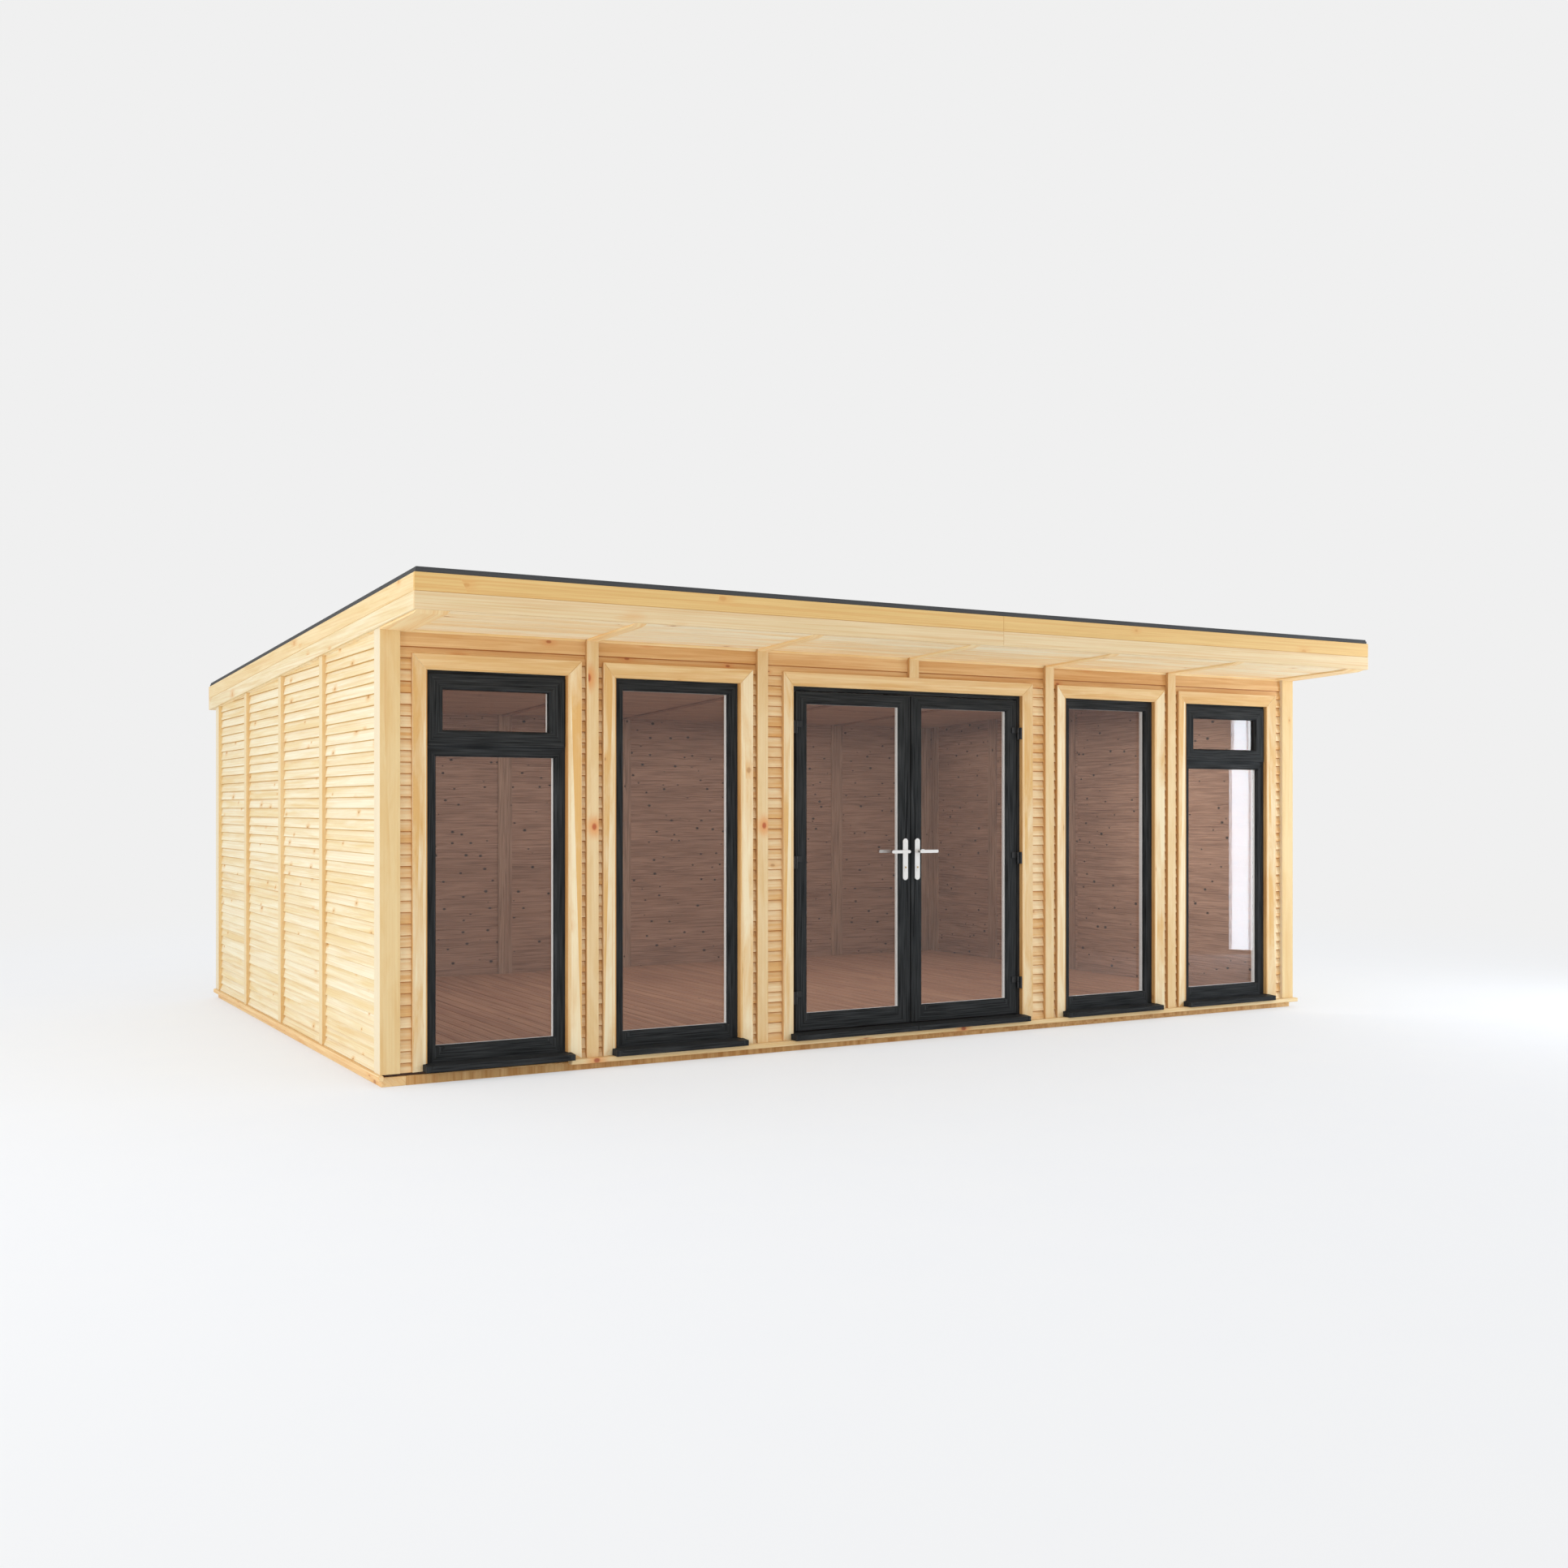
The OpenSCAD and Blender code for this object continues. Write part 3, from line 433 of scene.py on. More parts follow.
def foiled_upvc(name, white_from=None):
    material, node = new_material(name)
    axes = node("SeparateXYZ", {0: node("TexCoord").outputs["Object"]}).outputs
    apart = node("Math", {0: axes["X"]}, operation="ABSOLUTE")
    in_bay = node("Math", {0: axes["X"]}, operation="FRACT")
    in_bay = node("Math", {0: in_bay, 1: 0.5}, operation="SUBTRACT")
    in_bay = node("Math", {0: in_bay}, operation="ABSOLUTE")
    window_side = node("Math", {0: HALF_WINDOW, 1: in_bay}, operation="SUBTRACT")
    door_side = node("Math", {0: HALF_DOOR, 1: apart}, operation="SUBTRACT")
    door_side = node("Math", {0: apart, 1: door_side}, operation="MINIMUM")
    outside = node("Math", {0: apart, 1: PAST_DOOR}, operation="GREATER_THAN")
    upright = node("Mix", {0: outside, 2: door_side, 3: window_side})
    below = node("Math", {0: axes["Z"], 1: frame_lo.z}, operation="SUBTRACT")
    above = node("Math", {0: frame_hi.z, 1: axes["Z"]}, operation="SUBTRACT")
    level = node("Math", {0: below, 1: above}, operation="MINIMUM")
    mid = node("Math", {0: axes["Z"], 1: VENT_FOOT}, operation="SUBTRACT")
    mid = node("Math", {0: mid}, operation="ABSOLUTE")
    no_vent = node("Math", {0: apart, 1: FIRST_VENT}, operation="LESS_THAN")
    mid = node("Math", {0: mid, 1: no_vent}, operation="ADD")
    level = node("Math", {0: level, 1: mid}, operation="MINIMUM")
    rail = node("Math", {0: level, 1: upright}, operation="LESS_THAN")
    thick_x = node("Math", {0: axes["X"], 1: axes["Y"]})
    thick_z = node("Math", {0: axes["Z"], 1: axes["Y"]})
    along = node("Mix", {0: rail, 2: axes["Z"], 3: axes["X"]})
    across = node("Mix", {0: rail, 2: thick_x, 3: thick_z})
    grain = node("CombineXYZ", {0: along, 1: across})
    grain = node("VectorMath", {0: grain, 1: GRAIN}, operation="DIVIDE")
    emboss = node("TexNoise", {"Vector": grain, "Scale": 1.0, "Detail": 3.0}, noise_dimensions="2D")
    streaky = node("MapRange", {"Value": emboss, "From Min": 0.22, "From Max": 0.78})
    tone = node("Mix", {0: streaky, 6: linear("#171819"), 7: linear("#3F4142")}, **COLOURS)
    if white_from:
        inside = node("Math", {0: axes["Y"], 1: white_from}, operation="GREATER_THAN")
        tone = node("Mix", {0: inside, 6: tone, 7: linear("#F1F0EC")}, **COLOURS)
    dull = node("MapRange", {"Value": emboss, "To Min": 0.36, "To Max": 0.54})
    bump = node("Bump", {"Height": emboss, "Strength": 0.4, "Distance": 0.0003})
    surface = node("BsdfPrincipled", {"Base Color": tone, "Roughness": dull, "IOR": 1.12,
                                      "Specular IOR Level": 0.3, "Normal": bump})
    node("OutputMaterial", {"Surface": surface})
    return material


upvc = foiled_upvc("embossed_black_upvc_foil")
upvc_window = foiled_upvc("embossed_black_upvc_foil_white_inside_windows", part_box("window_panes")[1].y)
upvc_vent = foiled_upvc("embossed_black_upvc_foil_white_inside_vents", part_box("vent_panes")[1].y)
upvc_door = foiled_upvc("embossed_black_upvc_foil_white_inside_doors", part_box("left_pane")[1].y)
print("foil: windows", round(2 * HALF_WINDOW, 3), "m wide, doors", round(2 * HALF_DOOR, 3))

# %% [markdown]
# Rubber gaskets, powder-coated hinges and the roof sheet are all dark and dull, and differ in tone, sheen
# and the size of their texture. The white spacer bars are moulded and dull too, so the same recipe serves.


# %% Dull moulded and coated finishes
def dull_finish(name, colour, worn, roughness, bump_mm, size, ior):
    material, node = new_material(name)
    place = node("TexCoord").outputs["Object"]
    fine = node("TexNoise", {"Vector": place, "Scale": 1 / size, "Detail": 2.0})
    wide = node("TexNoise", {"Vector": place, "Scale": 2.5, "Detail": 4.0})
    tone = node("Mix", {0: wide, 6: linear(colour), 7: linear(worn)}, **COLOURS)
    dull = node("MapRange", {"Value": wide, "To Min": roughness - 0.06, "To Max": roughness + 0.06})
    bump = node("Bump", {"Height": fine, "Strength": 0.35, "Distance": bump_mm / 1000})
    surface = node("BsdfPrincipled", {"Base Color": tone, "Roughness": dull, "IOR": ior,
                                      "Normal": bump})
    node("OutputMaterial", {"Surface": surface})
    return material


gasket_rubber = dull_finish("extruded_epdm_gasket", "#141516", "#1B1C1D", 0.75, 0.1, 0.002, 1.45)
powder_coat = dull_finish("powder_coated_steel", "#0E0F10", "#141516", 0.5, 0.1, 0.0015, 1.45)
roofing = dull_finish("bonded_rubber_roof_sheet", "#3A3B3C", "#48494B", 0.8, 0.4, 0.006, 1.5)
spacer_bar = dull_finish("moulded_white_spacer_bar", "#F6F5F2", "#F2F1EE", 0.55, 0.1, 0.002, 1.5)
print("dull finishes ready")

# %% [markdown]
# The handles are satin stainless steel and the lock cylinders are turned brass. A metal shows its
# surroundings, so only its colour and the width of the highlight matter: brushing is noise that is
# stretched along the plate.


# %% Metals
def metal(name, colour, roughness, stretch):
    material, node = new_material(name)
    place = node("TexCoord").outputs["Object"]
    brushed = node("VectorMath", {0: place, 1: stretch}, operation="MULTIPLY")
    lines = node("TexNoise", {"Vector": brushed, "Scale": 1.0, "Detail": 3.0})
    dull = node("MapRange", {"Value": lines, "To Min": roughness - 0.08, "To Max": roughness + 0.08})
    bump = node("Bump", {"Height": lines, "Strength": 0.1, "Distance": 0.0002})
    surface = node("BsdfPrincipled", {"Base Color": linear(colour), "Metallic": 1.0,
                                      "Roughness": dull, "Normal": bump})
    node("OutputMaterial", {"Surface": surface})
    return material


steel = metal("satin_stainless_steel", "#E6E4E1", 0.36, (900, 900, 40))
brass = metal("turned_brass", "#C9A864", 0.3, (700, 60, 700))
print("metals ready")

# %% [markdown]
# Sealed units are clear float glass. Real glass lets daylight through to the room, but a path tracer
# finds that light only by luck, so shadow rays pass straight through and all other rays refract. Plain
# glass has an IOR of 1.5. The room shows clearly here, so the value is lower, as on coated glass.

# %% Float glass
glass, node = new_material("clear_float_glass")
path = node("LightPath")
clear = node("BsdfTransparent", {"Color": linear("#FFFFFF")})
sheet = node("BsdfPrincipled", {"Base Color": linear("#FFFFFF"), "Roughness": 0.0, "IOR": 1.25,
                                "Transmission Weight": 1.0})
mixed = node("MixShader", {0: path.outputs["Is Shadow Ray"], 1: sheet, 2: clear})
node("OutputMaterial", {"Surface": mixed})
print("glass ready")

# %% [markdown]
# Most layers are boards: a section that is pushed along a line. One function makes such a prism, a second
# one skins a row of rings, and a third one cuts boards off under the roof. The last one turns the finished
# set into a piece that rides on a body of the frame. A small bevel takes the sharpness off sawn edges, as
# sanding does.


# %% Helpers for boards and pieces
def prism(bm, section, along):
    count = len(section)
    low = [bm.verts.new(p) for p in section]
    high = [bm.verts.new(Vector(p) + Vector(along)) for p in section]
    bm.faces.new(low)
    bm.faces.new(high[::-1])
    for i in range(count):
        j = (i + 1) % count
        bm.faces.new((low[i], high[i], high[j], low[j]))


def join_loops(bm, loops):
    for one, two in zip(loops, loops[1:]):
        for i in range(len(one)):
            j = (i + 1) % len(one)
            bm.faces.new((one[i], one[j], two[j], two[i]))


def cut_under_roof(bm, slack=0.0):
    point, normal = (0, post_lo.y, soffit_z(post_lo.y) - slack), Vector((0, FALL, 1)).normalized()
    geometry = bm.verts[:] + bm.edges[:] + bm.faces[:]
    cut = bmesh.ops.bisect_plane(bm, geom=geometry, dist=1e-6, plane_co=point, plane_no=normal,
                                 clear_outer=True)
    edges = [g for g in cut["geom_cut"] if isinstance(g, bmesh.types.BMEdge)]
    bmesh.ops.holes_fill(bm, edges=edges, sides=0)


def piece(name, bm, material, body="cabin", bevel=0.0):
    bmesh.ops.recalc_face_normals(bm, faces=bm.faces)
    mesh = bpy.data.meshes.new(name)
    bm.to_mesh(mesh)
    bm.free()
    mesh.materials.append(material)
    obj = bpy.data.objects.new(name, mesh)
    bpy.context.scene.collection.objects.link(obj)
    if bevel:
        soft = obj.modifiers.new("sanded_edges", "BEVEL")
        soft.width, soft.segments, soft.limit_method = bevel, 2, "ANGLE"
    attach(obj, body)
    print(name, len(mesh.polygons), "faces on", body)
    return obj


print("helpers ready")

# %% [markdown]
# Weatherboards lap one over the next: each is thin at its top edge and thick at its lip, and the lip
# throws the fine shadow line that gives the walls their stripes. The pine deepens that line with painted
# shade, a darker tint in the slot under each lip. Bump could fake the lines, but not the stepped edge at
# the corners, so every board is a solid of its own. The courses are 56 mm apart, counted down from the
# wide board under the soffit. On the front they only fill what battens and architraves leave free, and the
# top two take a knottier pine, whose darker tone is painted shade from the overhang. The lowest board
# stands further out than the rest, most of all at the sides, where it has to close on the cap board.

# %% Weatherboards
LIP, THIN, EASE = 0.012, 0.002, 0.0016
LAP_OVER, LAP_SLACK = 0.012, 0.0004
LOWEST_OUT, SIDE_LOWEST_OUT = 0.004, 0.0085
END_GAP, LEAST_SPAN = 0.0004, 0.004
COURSE_COUNT = 37
courses = [TOP_COURSE - COURSE * k for k in range(COURSE_COUNT)][::-1]
rows = list(zip([FLOOR] + courses, courses + [soffit_z(post_lo.y) + BOARD]))


def weatherboard(bm, origin, along, out, start, end, low, high, lowest_out):
    if low > FLOOR:
        foot = low + LAP_GAP
        lower = [(0, low + LAP_OVER), (THIN + LAP_SLACK, low + LAP_OVER), (THIN + LAP_SLACK, foot),
                 (LIP - EASE, foot), (LIP, foot + EASE)]
    else:
        lower = [(0, low), (LIP + lowest_out, low), (LIP + lowest_out, low + EASE)]
    profile = lower + [(THIN, high), (THIN, high + LAP_OVER), (0, high + LAP_OVER)]
    at = Vector(origin) + Vector(along) * (start + END_GAP)
    section = [at + Vector(out) * depth + Vector((0, 0, z)) for depth, z in profile]
    prism(bm, section, Vector(along) * (end - start - 2 * END_GAP))


def between(edges, low, high):
    spans, at = [], low
    for start, end in sorted(edges) + [(high, high)]:
        if start - at > LEAST_SPAN:
            spans.append((at, start))
        at = max(at, end)
    return spans


HALF_BATTEN = 0.033
INNER = post_hi.x - WALL
heads = solids("architrave_heads")
seams_x = [(x - HALF_BATTEN, x + HALF_BATTEN) for x in SEAMS]
openings_x = [(lo.x, hi.x) for lo, hi in heads]
head_low = min(lo.z for lo, hi in heads)
front_low = between(seams_x + openings_x, -INNER, INNER)
front_high = between(seams_x, -INNER, INNER)
side_battens = [(lo.y, hi.y) for lo, hi in solids("left_battens")]
side_spans = between(side_battens, post_lo.y + WALL, post_hi.y - WALL)

# a face is a point on it, the way along it and the way out of it
on_front = ((0, post_lo.y + PANEL, 0), (1, 0, 0), (0, -1, 0))
on_back = ((0, post_hi.y - PANEL, 0), (1, 0, 0), (0, 1, 0))
on_left, on_right = (((out * (post_hi.x - PANEL), 0, 0), (0, 1, 0), (out, 0, 0)) for out in (-1, 1))
for name, wood, face, courses_here, low_spans, spans, lowest_out in (
        ("front_weatherboards", boards_x, on_front, rows[:-2], front_low, front_high, LOWEST_OUT),
        ("front_header_boards", knotty_shaded_header_x, on_front, rows[-2:], front_low, front_high, LOWEST_OUT),
        ("back_weatherboards", rear_x, on_back, rows, front_high, front_high, LOWEST_OUT),
        ("left_weatherboards", boards_y, on_left, rows, side_spans, side_spans, SIDE_LOWEST_OUT),
        ("right_weatherboards", boards_y, on_right, rows, side_spans, side_spans, SIDE_LOWEST_OUT)):
    bm = bmesh.new()
    for low, high in courses_here:
        for start, end in low_spans if low < head_low else spans:
            weatherboard(bm, *face, start, end, low, high, lowest_out)
    cut_under_roof(bm)
    piece(name, bm, wood)

# %% [markdown]
# The roof's underside is lined with boards that run along the front. Their lower edges are eased, so each
# joint shows as a fine V. Wide boards from front to back close both ends, and the cover battens on the
# seams are cut to a slope where they meet the fascia, so that no end hangs below it. The ceiling inside is
# lined in the same way, and a slim strip covers the corner between soffit and wall.

# %% Soffit, ceiling and corner strips
EASED = 0.0025
SOFFIT_GAP = 0.003
END_BOARD = 2.945
SLOPED_END = 0.050
BOARD_T = BOARD - 0.0002
SOFFIT_COUNT, CEILING_COUNT = 8, 33
CEILING_BATTEN, CEILING_BATTEN_T, CEILING_DROP = 0.062, 0.018, 0.008
STRIP_W, STRIP_H = 0.014, 0.012


def slope_board(bm, x0, x1, y0, y1, lift, thick):
    section = []
    for y, z in ((y0, thick), (y0, EASED), (y0 + EASED, 0), (y1 - EASED, 0), (y1, EASED), (y1, thick)):
        section.append((x0, y, soffit_z(y) + lift + z))
    prism(bm, section, (x1 - x0, 0, 0))


def slope_boards(bm, spans, y0, y1, count, lift=0.0, thick=BOARD_T, gap=0.0):
    step = (y1 - y0) / count
    for x0, x1 in spans:
        for i in range(count):
            slope_board(bm, x0 + END_GAP, x1 - END_GAP, y0 + i * step, y0 + (i + 1) * step - gap, lift, thick)


def cover_batten(bm, lo, hi, drop):
    profile = ((lo.y, BOARD_T), (lo.y, 0.0), (lo.y + SLOPED_END, -drop), (hi.y, -drop), (hi.y, BOARD_T))
    prism(bm, [(lo.x, y, soffit_z(y) + z) for y, z in profile], (hi.x - lo.x, 0, 0))


seam_battens = solids("soffit_battens")
BATTEN_DROP = soffit_z(seam_battens[0][1].y) - seam_battens[0][0].z
bm = bmesh.new()
for lo, hi in seam_battens:
    cover_batten(bm, lo, hi, BATTEN_DROP)
battens = piece("soffit_cover_battens", bm, trim_y, bevel=0.0015)
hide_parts("soffit_battens")

bm = bmesh.new()
edge = seam_battens[0]
for x0, x1 in ((post_lo.x, -END_BOARD), (END_BOARD, post_hi.x)):
    cover_batten(bm, Vector((x0 + END_GAP, edge[0].y, 0)), Vector((x1, edge[1].y, 0)), BATTEN_DROP)
piece("soffit_end_boards", bm, trim_y, bevel=0.0015)

soffit_seams = [(lo.x, hi.x) for lo, hi in seam_battens]
bm = bmesh.new()
slope_boards(bm, between(soffit_seams, -END_BOARD, END_BOARD), fascia_hi.y, post_lo.y, SOFFIT_COUNT,
             gap=SOFFIT_GAP)
slope_boards(bm, front_high, post_lo.y, post_lo.y + PANEL, 1)
slope_boards(bm, front_high, post_hi.y - PANEL, post_hi.y, 1)
slope_boards(bm, [(post_lo.x, post_hi.x)], post_hi.y, rear_lo.y, 2)
for x0 in (post_lo.x, post_hi.x - PANEL):
    for y0, y1 in side_spans:
        slope_boards(bm, [(x0, x0 + PANEL)], y0, y1, 1)
piece("soffit_boards", bm, soffit_x)

bm = bmesh.new()
for face, out in ((post_lo.y + PANEL, -1), (post_hi.y - PANEL, 1)):
    for x0, x1 in front_high:
        profile = ((0.0, 0.0), (1.0, 0.0), (1.0, 0.45), (0.7, 1.0), (0.0, 1.0))
        points = [(face + out * STRIP_W * a, STRIP_H * drop) for a, drop in profile]
        section = [(x0 + END_GAP, y, soffit_z(y) - drop) for y, drop in points]
        prism(bm, section, (x1 - x0 - 2 * END_GAP, 0, 0))
piece("soffit_corner_strips", bm, strip_x, bevel=0.001)

bm = bmesh.new()
ceiling_seams = [(x - CEILING_BATTEN / 2, x + CEILING_BATTEN / 2) for x in SEAMS]
slope_boards(bm, between(ceiling_seams, -INNER, INNER), post_lo.y + WALL, post_hi.y - WALL,
             CEILING_COUNT)
piece("ceiling_boards", bm, ceiling_x)

bm = bmesh.new()
slope_boards(bm, ceiling_seams, post_lo.y + WALL, post_hi.y - WALL, 1, -CEILING_DROP, CEILING_BATTEN_T)
piece("ceiling_battens", bm, lining_y)

# %% [markdown]
# Inside, the walls are lined with wide boards, flat cover strips close the seams between the panels and
# the corners, and the floor is laid with planks from front to back. Only what the windows let through is
# seen, yet the room has to be whole, because the doors open. The planks break joint at random places,
# from a fixed seed so that each run gives the same floor.

# %% Lining, cover strips and floor
LINING = 0.008
LINING_PITCH = 0.146
LINING_EASE = 0.0012
COVER_W, COVER_T = 0.112, 0.010
PLANK = 0.093
PLANK_T = 0.007
PLANK_EASE, PLANK_GAP = 0.0020, 0.007
LEAST_PLANK, JOINT_IN = 0.01, 0.6
END_SEAM = 0.2
OPENING_IN = 0.07
CEILING_SLACK = 0.0003
draw = random.Random(7)


def lining_wall(bm, origin, along, out, spans, low, high):
    count = math.ceil((high - low) / LINING_PITCH)
    for start, end in spans:
        at = Vector(origin) + Vector(along) * (start + END_GAP)
        for i in range(count):
            z0, z1 = low + i * LINING_PITCH, min(high, low + (i + 1) * LINING_PITCH)
            profile = [(0, z0), (LINING - LINING_EASE, z0), (LINING, z0 + LINING_EASE),
                       (LINING, z1 - LINING_EASE), (LINING - LINING_EASE, z1), (0, z1)]
            section = [at + Vector(out) * d + Vector((0, 0, z)) for d, z in profile]
            prism(bm, section, Vector(along) * (end - start - 2 * END_GAP))


def cover_strip(bm, origin, along, out, middle, low, high):
    at = Vector(origin) + Vector(along) * middle
    half = COVER_W / 2
    profile = [(-half, 0), (-half, COVER_T - EASED), (-half + EASED, COVER_T),
               (half - EASED, COVER_T), (half, COVER_T - EASED), (half, 0)]
    section = [at + Vector(along) * a + Vector(out) * (LINING + b) + Vector((0, 0, low)) for a, b in profile]
    prism(bm, section, (0, 0, high - low))


top = soffit_z(post_lo.y)
inner_y0, inner_y1 = post_lo.y + WALL, post_hi.y - WALL
in_front, in_back = (((0, y, 0), (1, 0, 0), (0, out, 0)) for y, out in ((inner_y0, 1), (inner_y1, -1)))
in_ends = [((sign * INNER, 0, 0), (0, 1, 0), (-sign, 0, 0)) for sign in (-1, 1)]
halves = [(-INNER + LINING, 0.0), (0.0, INNER - LINING)]
clear_x = [(lo.x + OPENING_IN, hi.x - OPENING_IN) for lo, hi in heads]
bm = bmesh.new()
lining_wall(bm, *in_back, halves, FLOOR, top)
lining_wall(bm, *in_front, between(clear_x, -INNER + LINING, INNER - LINING), FLOOR, head_low)
lining_wall(bm, *in_front, halves, head_low, top)
cut_under_roof(bm, CEILING_SLACK)
piece("cross_wall_lining", bm, lining_x)

bm = bmesh.new()
for end in in_ends:
    lining_wall(bm, *end, [(inner_y0, END_SEAM), (END_SEAM, inner_y1)], FLOOR, top)
cut_under_roof(bm, CEILING_SLACK)
piece("end_wall_lining", bm, lining_y)

bm = bmesh.new()
side_seams = [(start + end) / 2 for start, end in side_battens]
corner = LINING + COVER_W / 2
for x in SEAMS + [-INNER + corner, INNER - corner]:
    cover_strip(bm, *in_back, x, FLOOR + PLANK_T, top)
    in_opening = any(start < x < end for start, end in clear_x)
    cover_strip(bm, *in_front, x, head_low if in_opening else FLOOR + PLANK_T, top)
for y in side_seams + [inner_y0 + corner + COVER_T, inner_y1 - corner - COVER_T]:
    for end in in_ends:
        cover_strip(bm, *end, y, FLOOR + PLANK_T, top)
cut_under_roof(bm, CEILING_SLACK)
piece("inner_cover_strips", bm, lining_z)

bm = bmesh.new()
x = -INNER + LINING
while x < INNER - LINING - LEAST_PLANK:
    x1 = min(x + PLANK, INNER - LINING)
    joint = draw.uniform(inner_y0 + JOINT_IN, inner_y1 - JOINT_IN)
    for y0, y1 in ((inner_y0 + LINING, joint), (joint, inner_y1 - LINING)):
        end = x1 - PLANK_GAP
        outline = [(x, 0), (end, 0), (end, PLANK_T - PLANK_EASE), (end - PLANK_EASE, PLANK_T),
                   (x + PLANK_EASE, PLANK_T), (x, PLANK_T - PLANK_EASE)]
        prism(bm, [(a, y0 + END_GAP, FLOOR + z) for a, z in outline], (0, y1 - y0 - 2 * END_GAP, 0))
    x = x1
piece("floor_planks", bm, floor_y)

# %% [markdown]
# Outside, a thin lining closes each opening between the architrave and the black frame. Its darker,
# redder tone is painted shade of the recess, so it reads as a darker band beside the black. At the
# windows it covers the edge of the frame. At the doors the hinges need that place, so it is no more than
# a veneer there.

# %% Reveal linings
WINDOW_REVEAL, DOOR_REVEAL = 0.006, 0.0016
REVEAL_BACK, REVEAL_EASE = 0.0125, 0.0008
OVER_SILL = 0.001
DOOR_REACH = 1.0
window_foot, door_foot = (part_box(sill)[1].z + OVER_SILL for sill in ("window_sills", "door_sill"))
bm = bmesh.new()
for lo, hi in solids("architrave_legs"):
    left_leg = any(abs(lo.x - head[0].x) < END_GAP for head in heads)
    face, out = (hi.x, 1) if left_leg else (lo.x, -1)
    at_door = abs(face) < DOOR_REACH
    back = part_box("door_jambs" if at_door else "window_frame_1")[0].y
    front = lo.y + REVEAL_BACK
    tip = face + out * (DOOR_REVEAL if at_door else WINDOW_REVEAL)
    section = [(face, front), (tip - out * REVEAL_EASE, front), (tip, front + REVEAL_EASE),
               (tip, back - END_GAP), (face, back - END_GAP)]
    foot = door_foot if at_door else window_foot
    prism(bm, [(x, y, foot) for x, y in section], (0, 0, head_low - foot - END_GAP))
piece("reveal_linings", bm, shaded_reveal_z)

# %% [markdown]
# A sealed unit is two sheets of 4 mm glass with a white spacer bar between them. From the side the bar's
# inner face shows as a bright line along the edge, which is what makes a window read as double glazed.
# Only the top of the bar stands clear of the rebate, and a slim rubber gasket closes the joint outside.
# The small vents show no such line, so their bars are black.

# %% Sealed units
SHEET = 0.004
SPACER = 0.0015
GASKET_W, GASKET_T = 0.0018, 0.003
SLACK, ARRIS = 0.0003, 0.0008


def sheet_of_glass(bm, lo, hi, y0, y1):
    x0, x1 = lo.x + SLACK, hi.x - SLACK
    outline = ((x0, y0 + ARRIS), (x0 + ARRIS, y0), (x1 - ARRIS, y0), (x1, y0 + ARRIS),
               (x1, y1 - ARRIS), (x1 - ARRIS, y1), (x0 + ARRIS, y1), (x0, y1 - ARRIS))
    prism(bm, [(x, y, lo.z + SLACK) for x, y in outline], (0, 0, hi.z - lo.z - 2 * SLACK))


def ring(bm, lo, hi, width, y0, y1):
    loops = []
    for y, inset in ((y0, SLACK), (y1, SLACK), (y1, SLACK + width), (y0, SLACK + width)):
        x0, x1, z0, z1 = lo.x + inset, hi.x - inset, lo.z + inset, hi.z - inset
        loops.append([bm.verts.new((x, y, z)) for x, z in ((x0, z0), (x1, z0), (x1, z1), (x0, z1))])
    join_loops(bm, loops + loops[:1])


def sealed_units(name, nodes, body, bar=spacer_bar):
    sheets, spacers, gaskets = bmesh.new(), bmesh.new(), bmesh.new()
    for node in nodes:
        for lo, hi in solids(node):
            sheet_of_glass(sheets, lo, hi, lo.y, lo.y + SHEET)
            sheet_of_glass(sheets, lo, hi, hi.y - SHEET, hi.y)
            ring(spacers, lo, hi, SPACER, lo.y + SHEET + SLACK, hi.y - SHEET - SLACK)
            ring(gaskets, lo, hi, GASKET_W, lo.y - GASKET_T, lo.y - SLACK)
    sheets = piece(name + "_glass", sheets, glass, body)
    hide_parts(*nodes)
    piece(name + "_spacers", spacers, bar, body)
    piece(name + "_gaskets", gaskets, gasket_rubber, body)


sealed_units("window", ["window_panes"], "cabin")
sealed_units("vent", ["vent_panes"], "cabin", bar=gasket_rubber)
for side in ("left", "right"):
    sealed_units(side + "_door", [side + "_pane"], side + "_door")

# %% [markdown]
# Each handle plate carries a lock cylinder below the lever and two screws. The cylinder has the usual
# keyhole outline, a round barrel over a straight tail, with a brass plug that the key turns, and the
# screws are low domes with a dimple.

# %% Lock cylinders and plate screws
BARREL, TAIL_W, TAIL = 0.0085, 0.010, 0.0245
BARREL_STEPS = 20
TAIL_EASE = (0.003, 0.004)
LEVER_BELOW_TOP, BELOW_LEVER = 0.075, 0.092
KEYWAY = (0.0011, 0.0042)
PROUD, SUNK = 0.003, 0.001
PLUG, PLUG_SIDES = 0.0055, 16
PLUG_T, KEYWAY_T = 0.0014, 0.00155
SCREW_IN, SCREW_SIDES = 0.018, 12
SCREW_DOME = ((0.0044, 0.0), (0.0040, 0.0009), (0.0024, 0.0015), (0.0012, 0.0014), (0.0005, 0.0006))


def barrel_outline():
    start = math.asin(TAIL_W / 2 / BARREL)
    turn = 2 * math.pi - 2 * start
    arc = [start + turn * i / BARREL_STEPS for i in range(BARREL_STEPS + 1)]
    points = [(-math.sin(a) * BARREL, -math.cos(a) * BARREL) for a in arc]
    half, (ease_x, ease_z) = TAIL_W / 2, TAIL_EASE
    return points + [(half, -TAIL + ease_z), (half - ease_x, -TAIL),
                     (-half + ease_x, -TAIL), (-half, -TAIL + ease_z)]


def circle(x, y, z, radius, sides):
    turns = [2 * math.pi * i / sides for i in range(sides)]
    return [(x + radius * math.cos(a), y, z + radius * math.sin(a)) for a in turns]


def screw(bm, x, y, z, out):
    rings = [[bm.verts.new(p) for p in circle(x, y + out * height, z, radius, SCREW_SIDES)]
             for radius, height in SCREW_DOME]
    join_loops(bm, rings)
    bm.faces.new(rings[0])
    bm.faces.new(rings[-1])


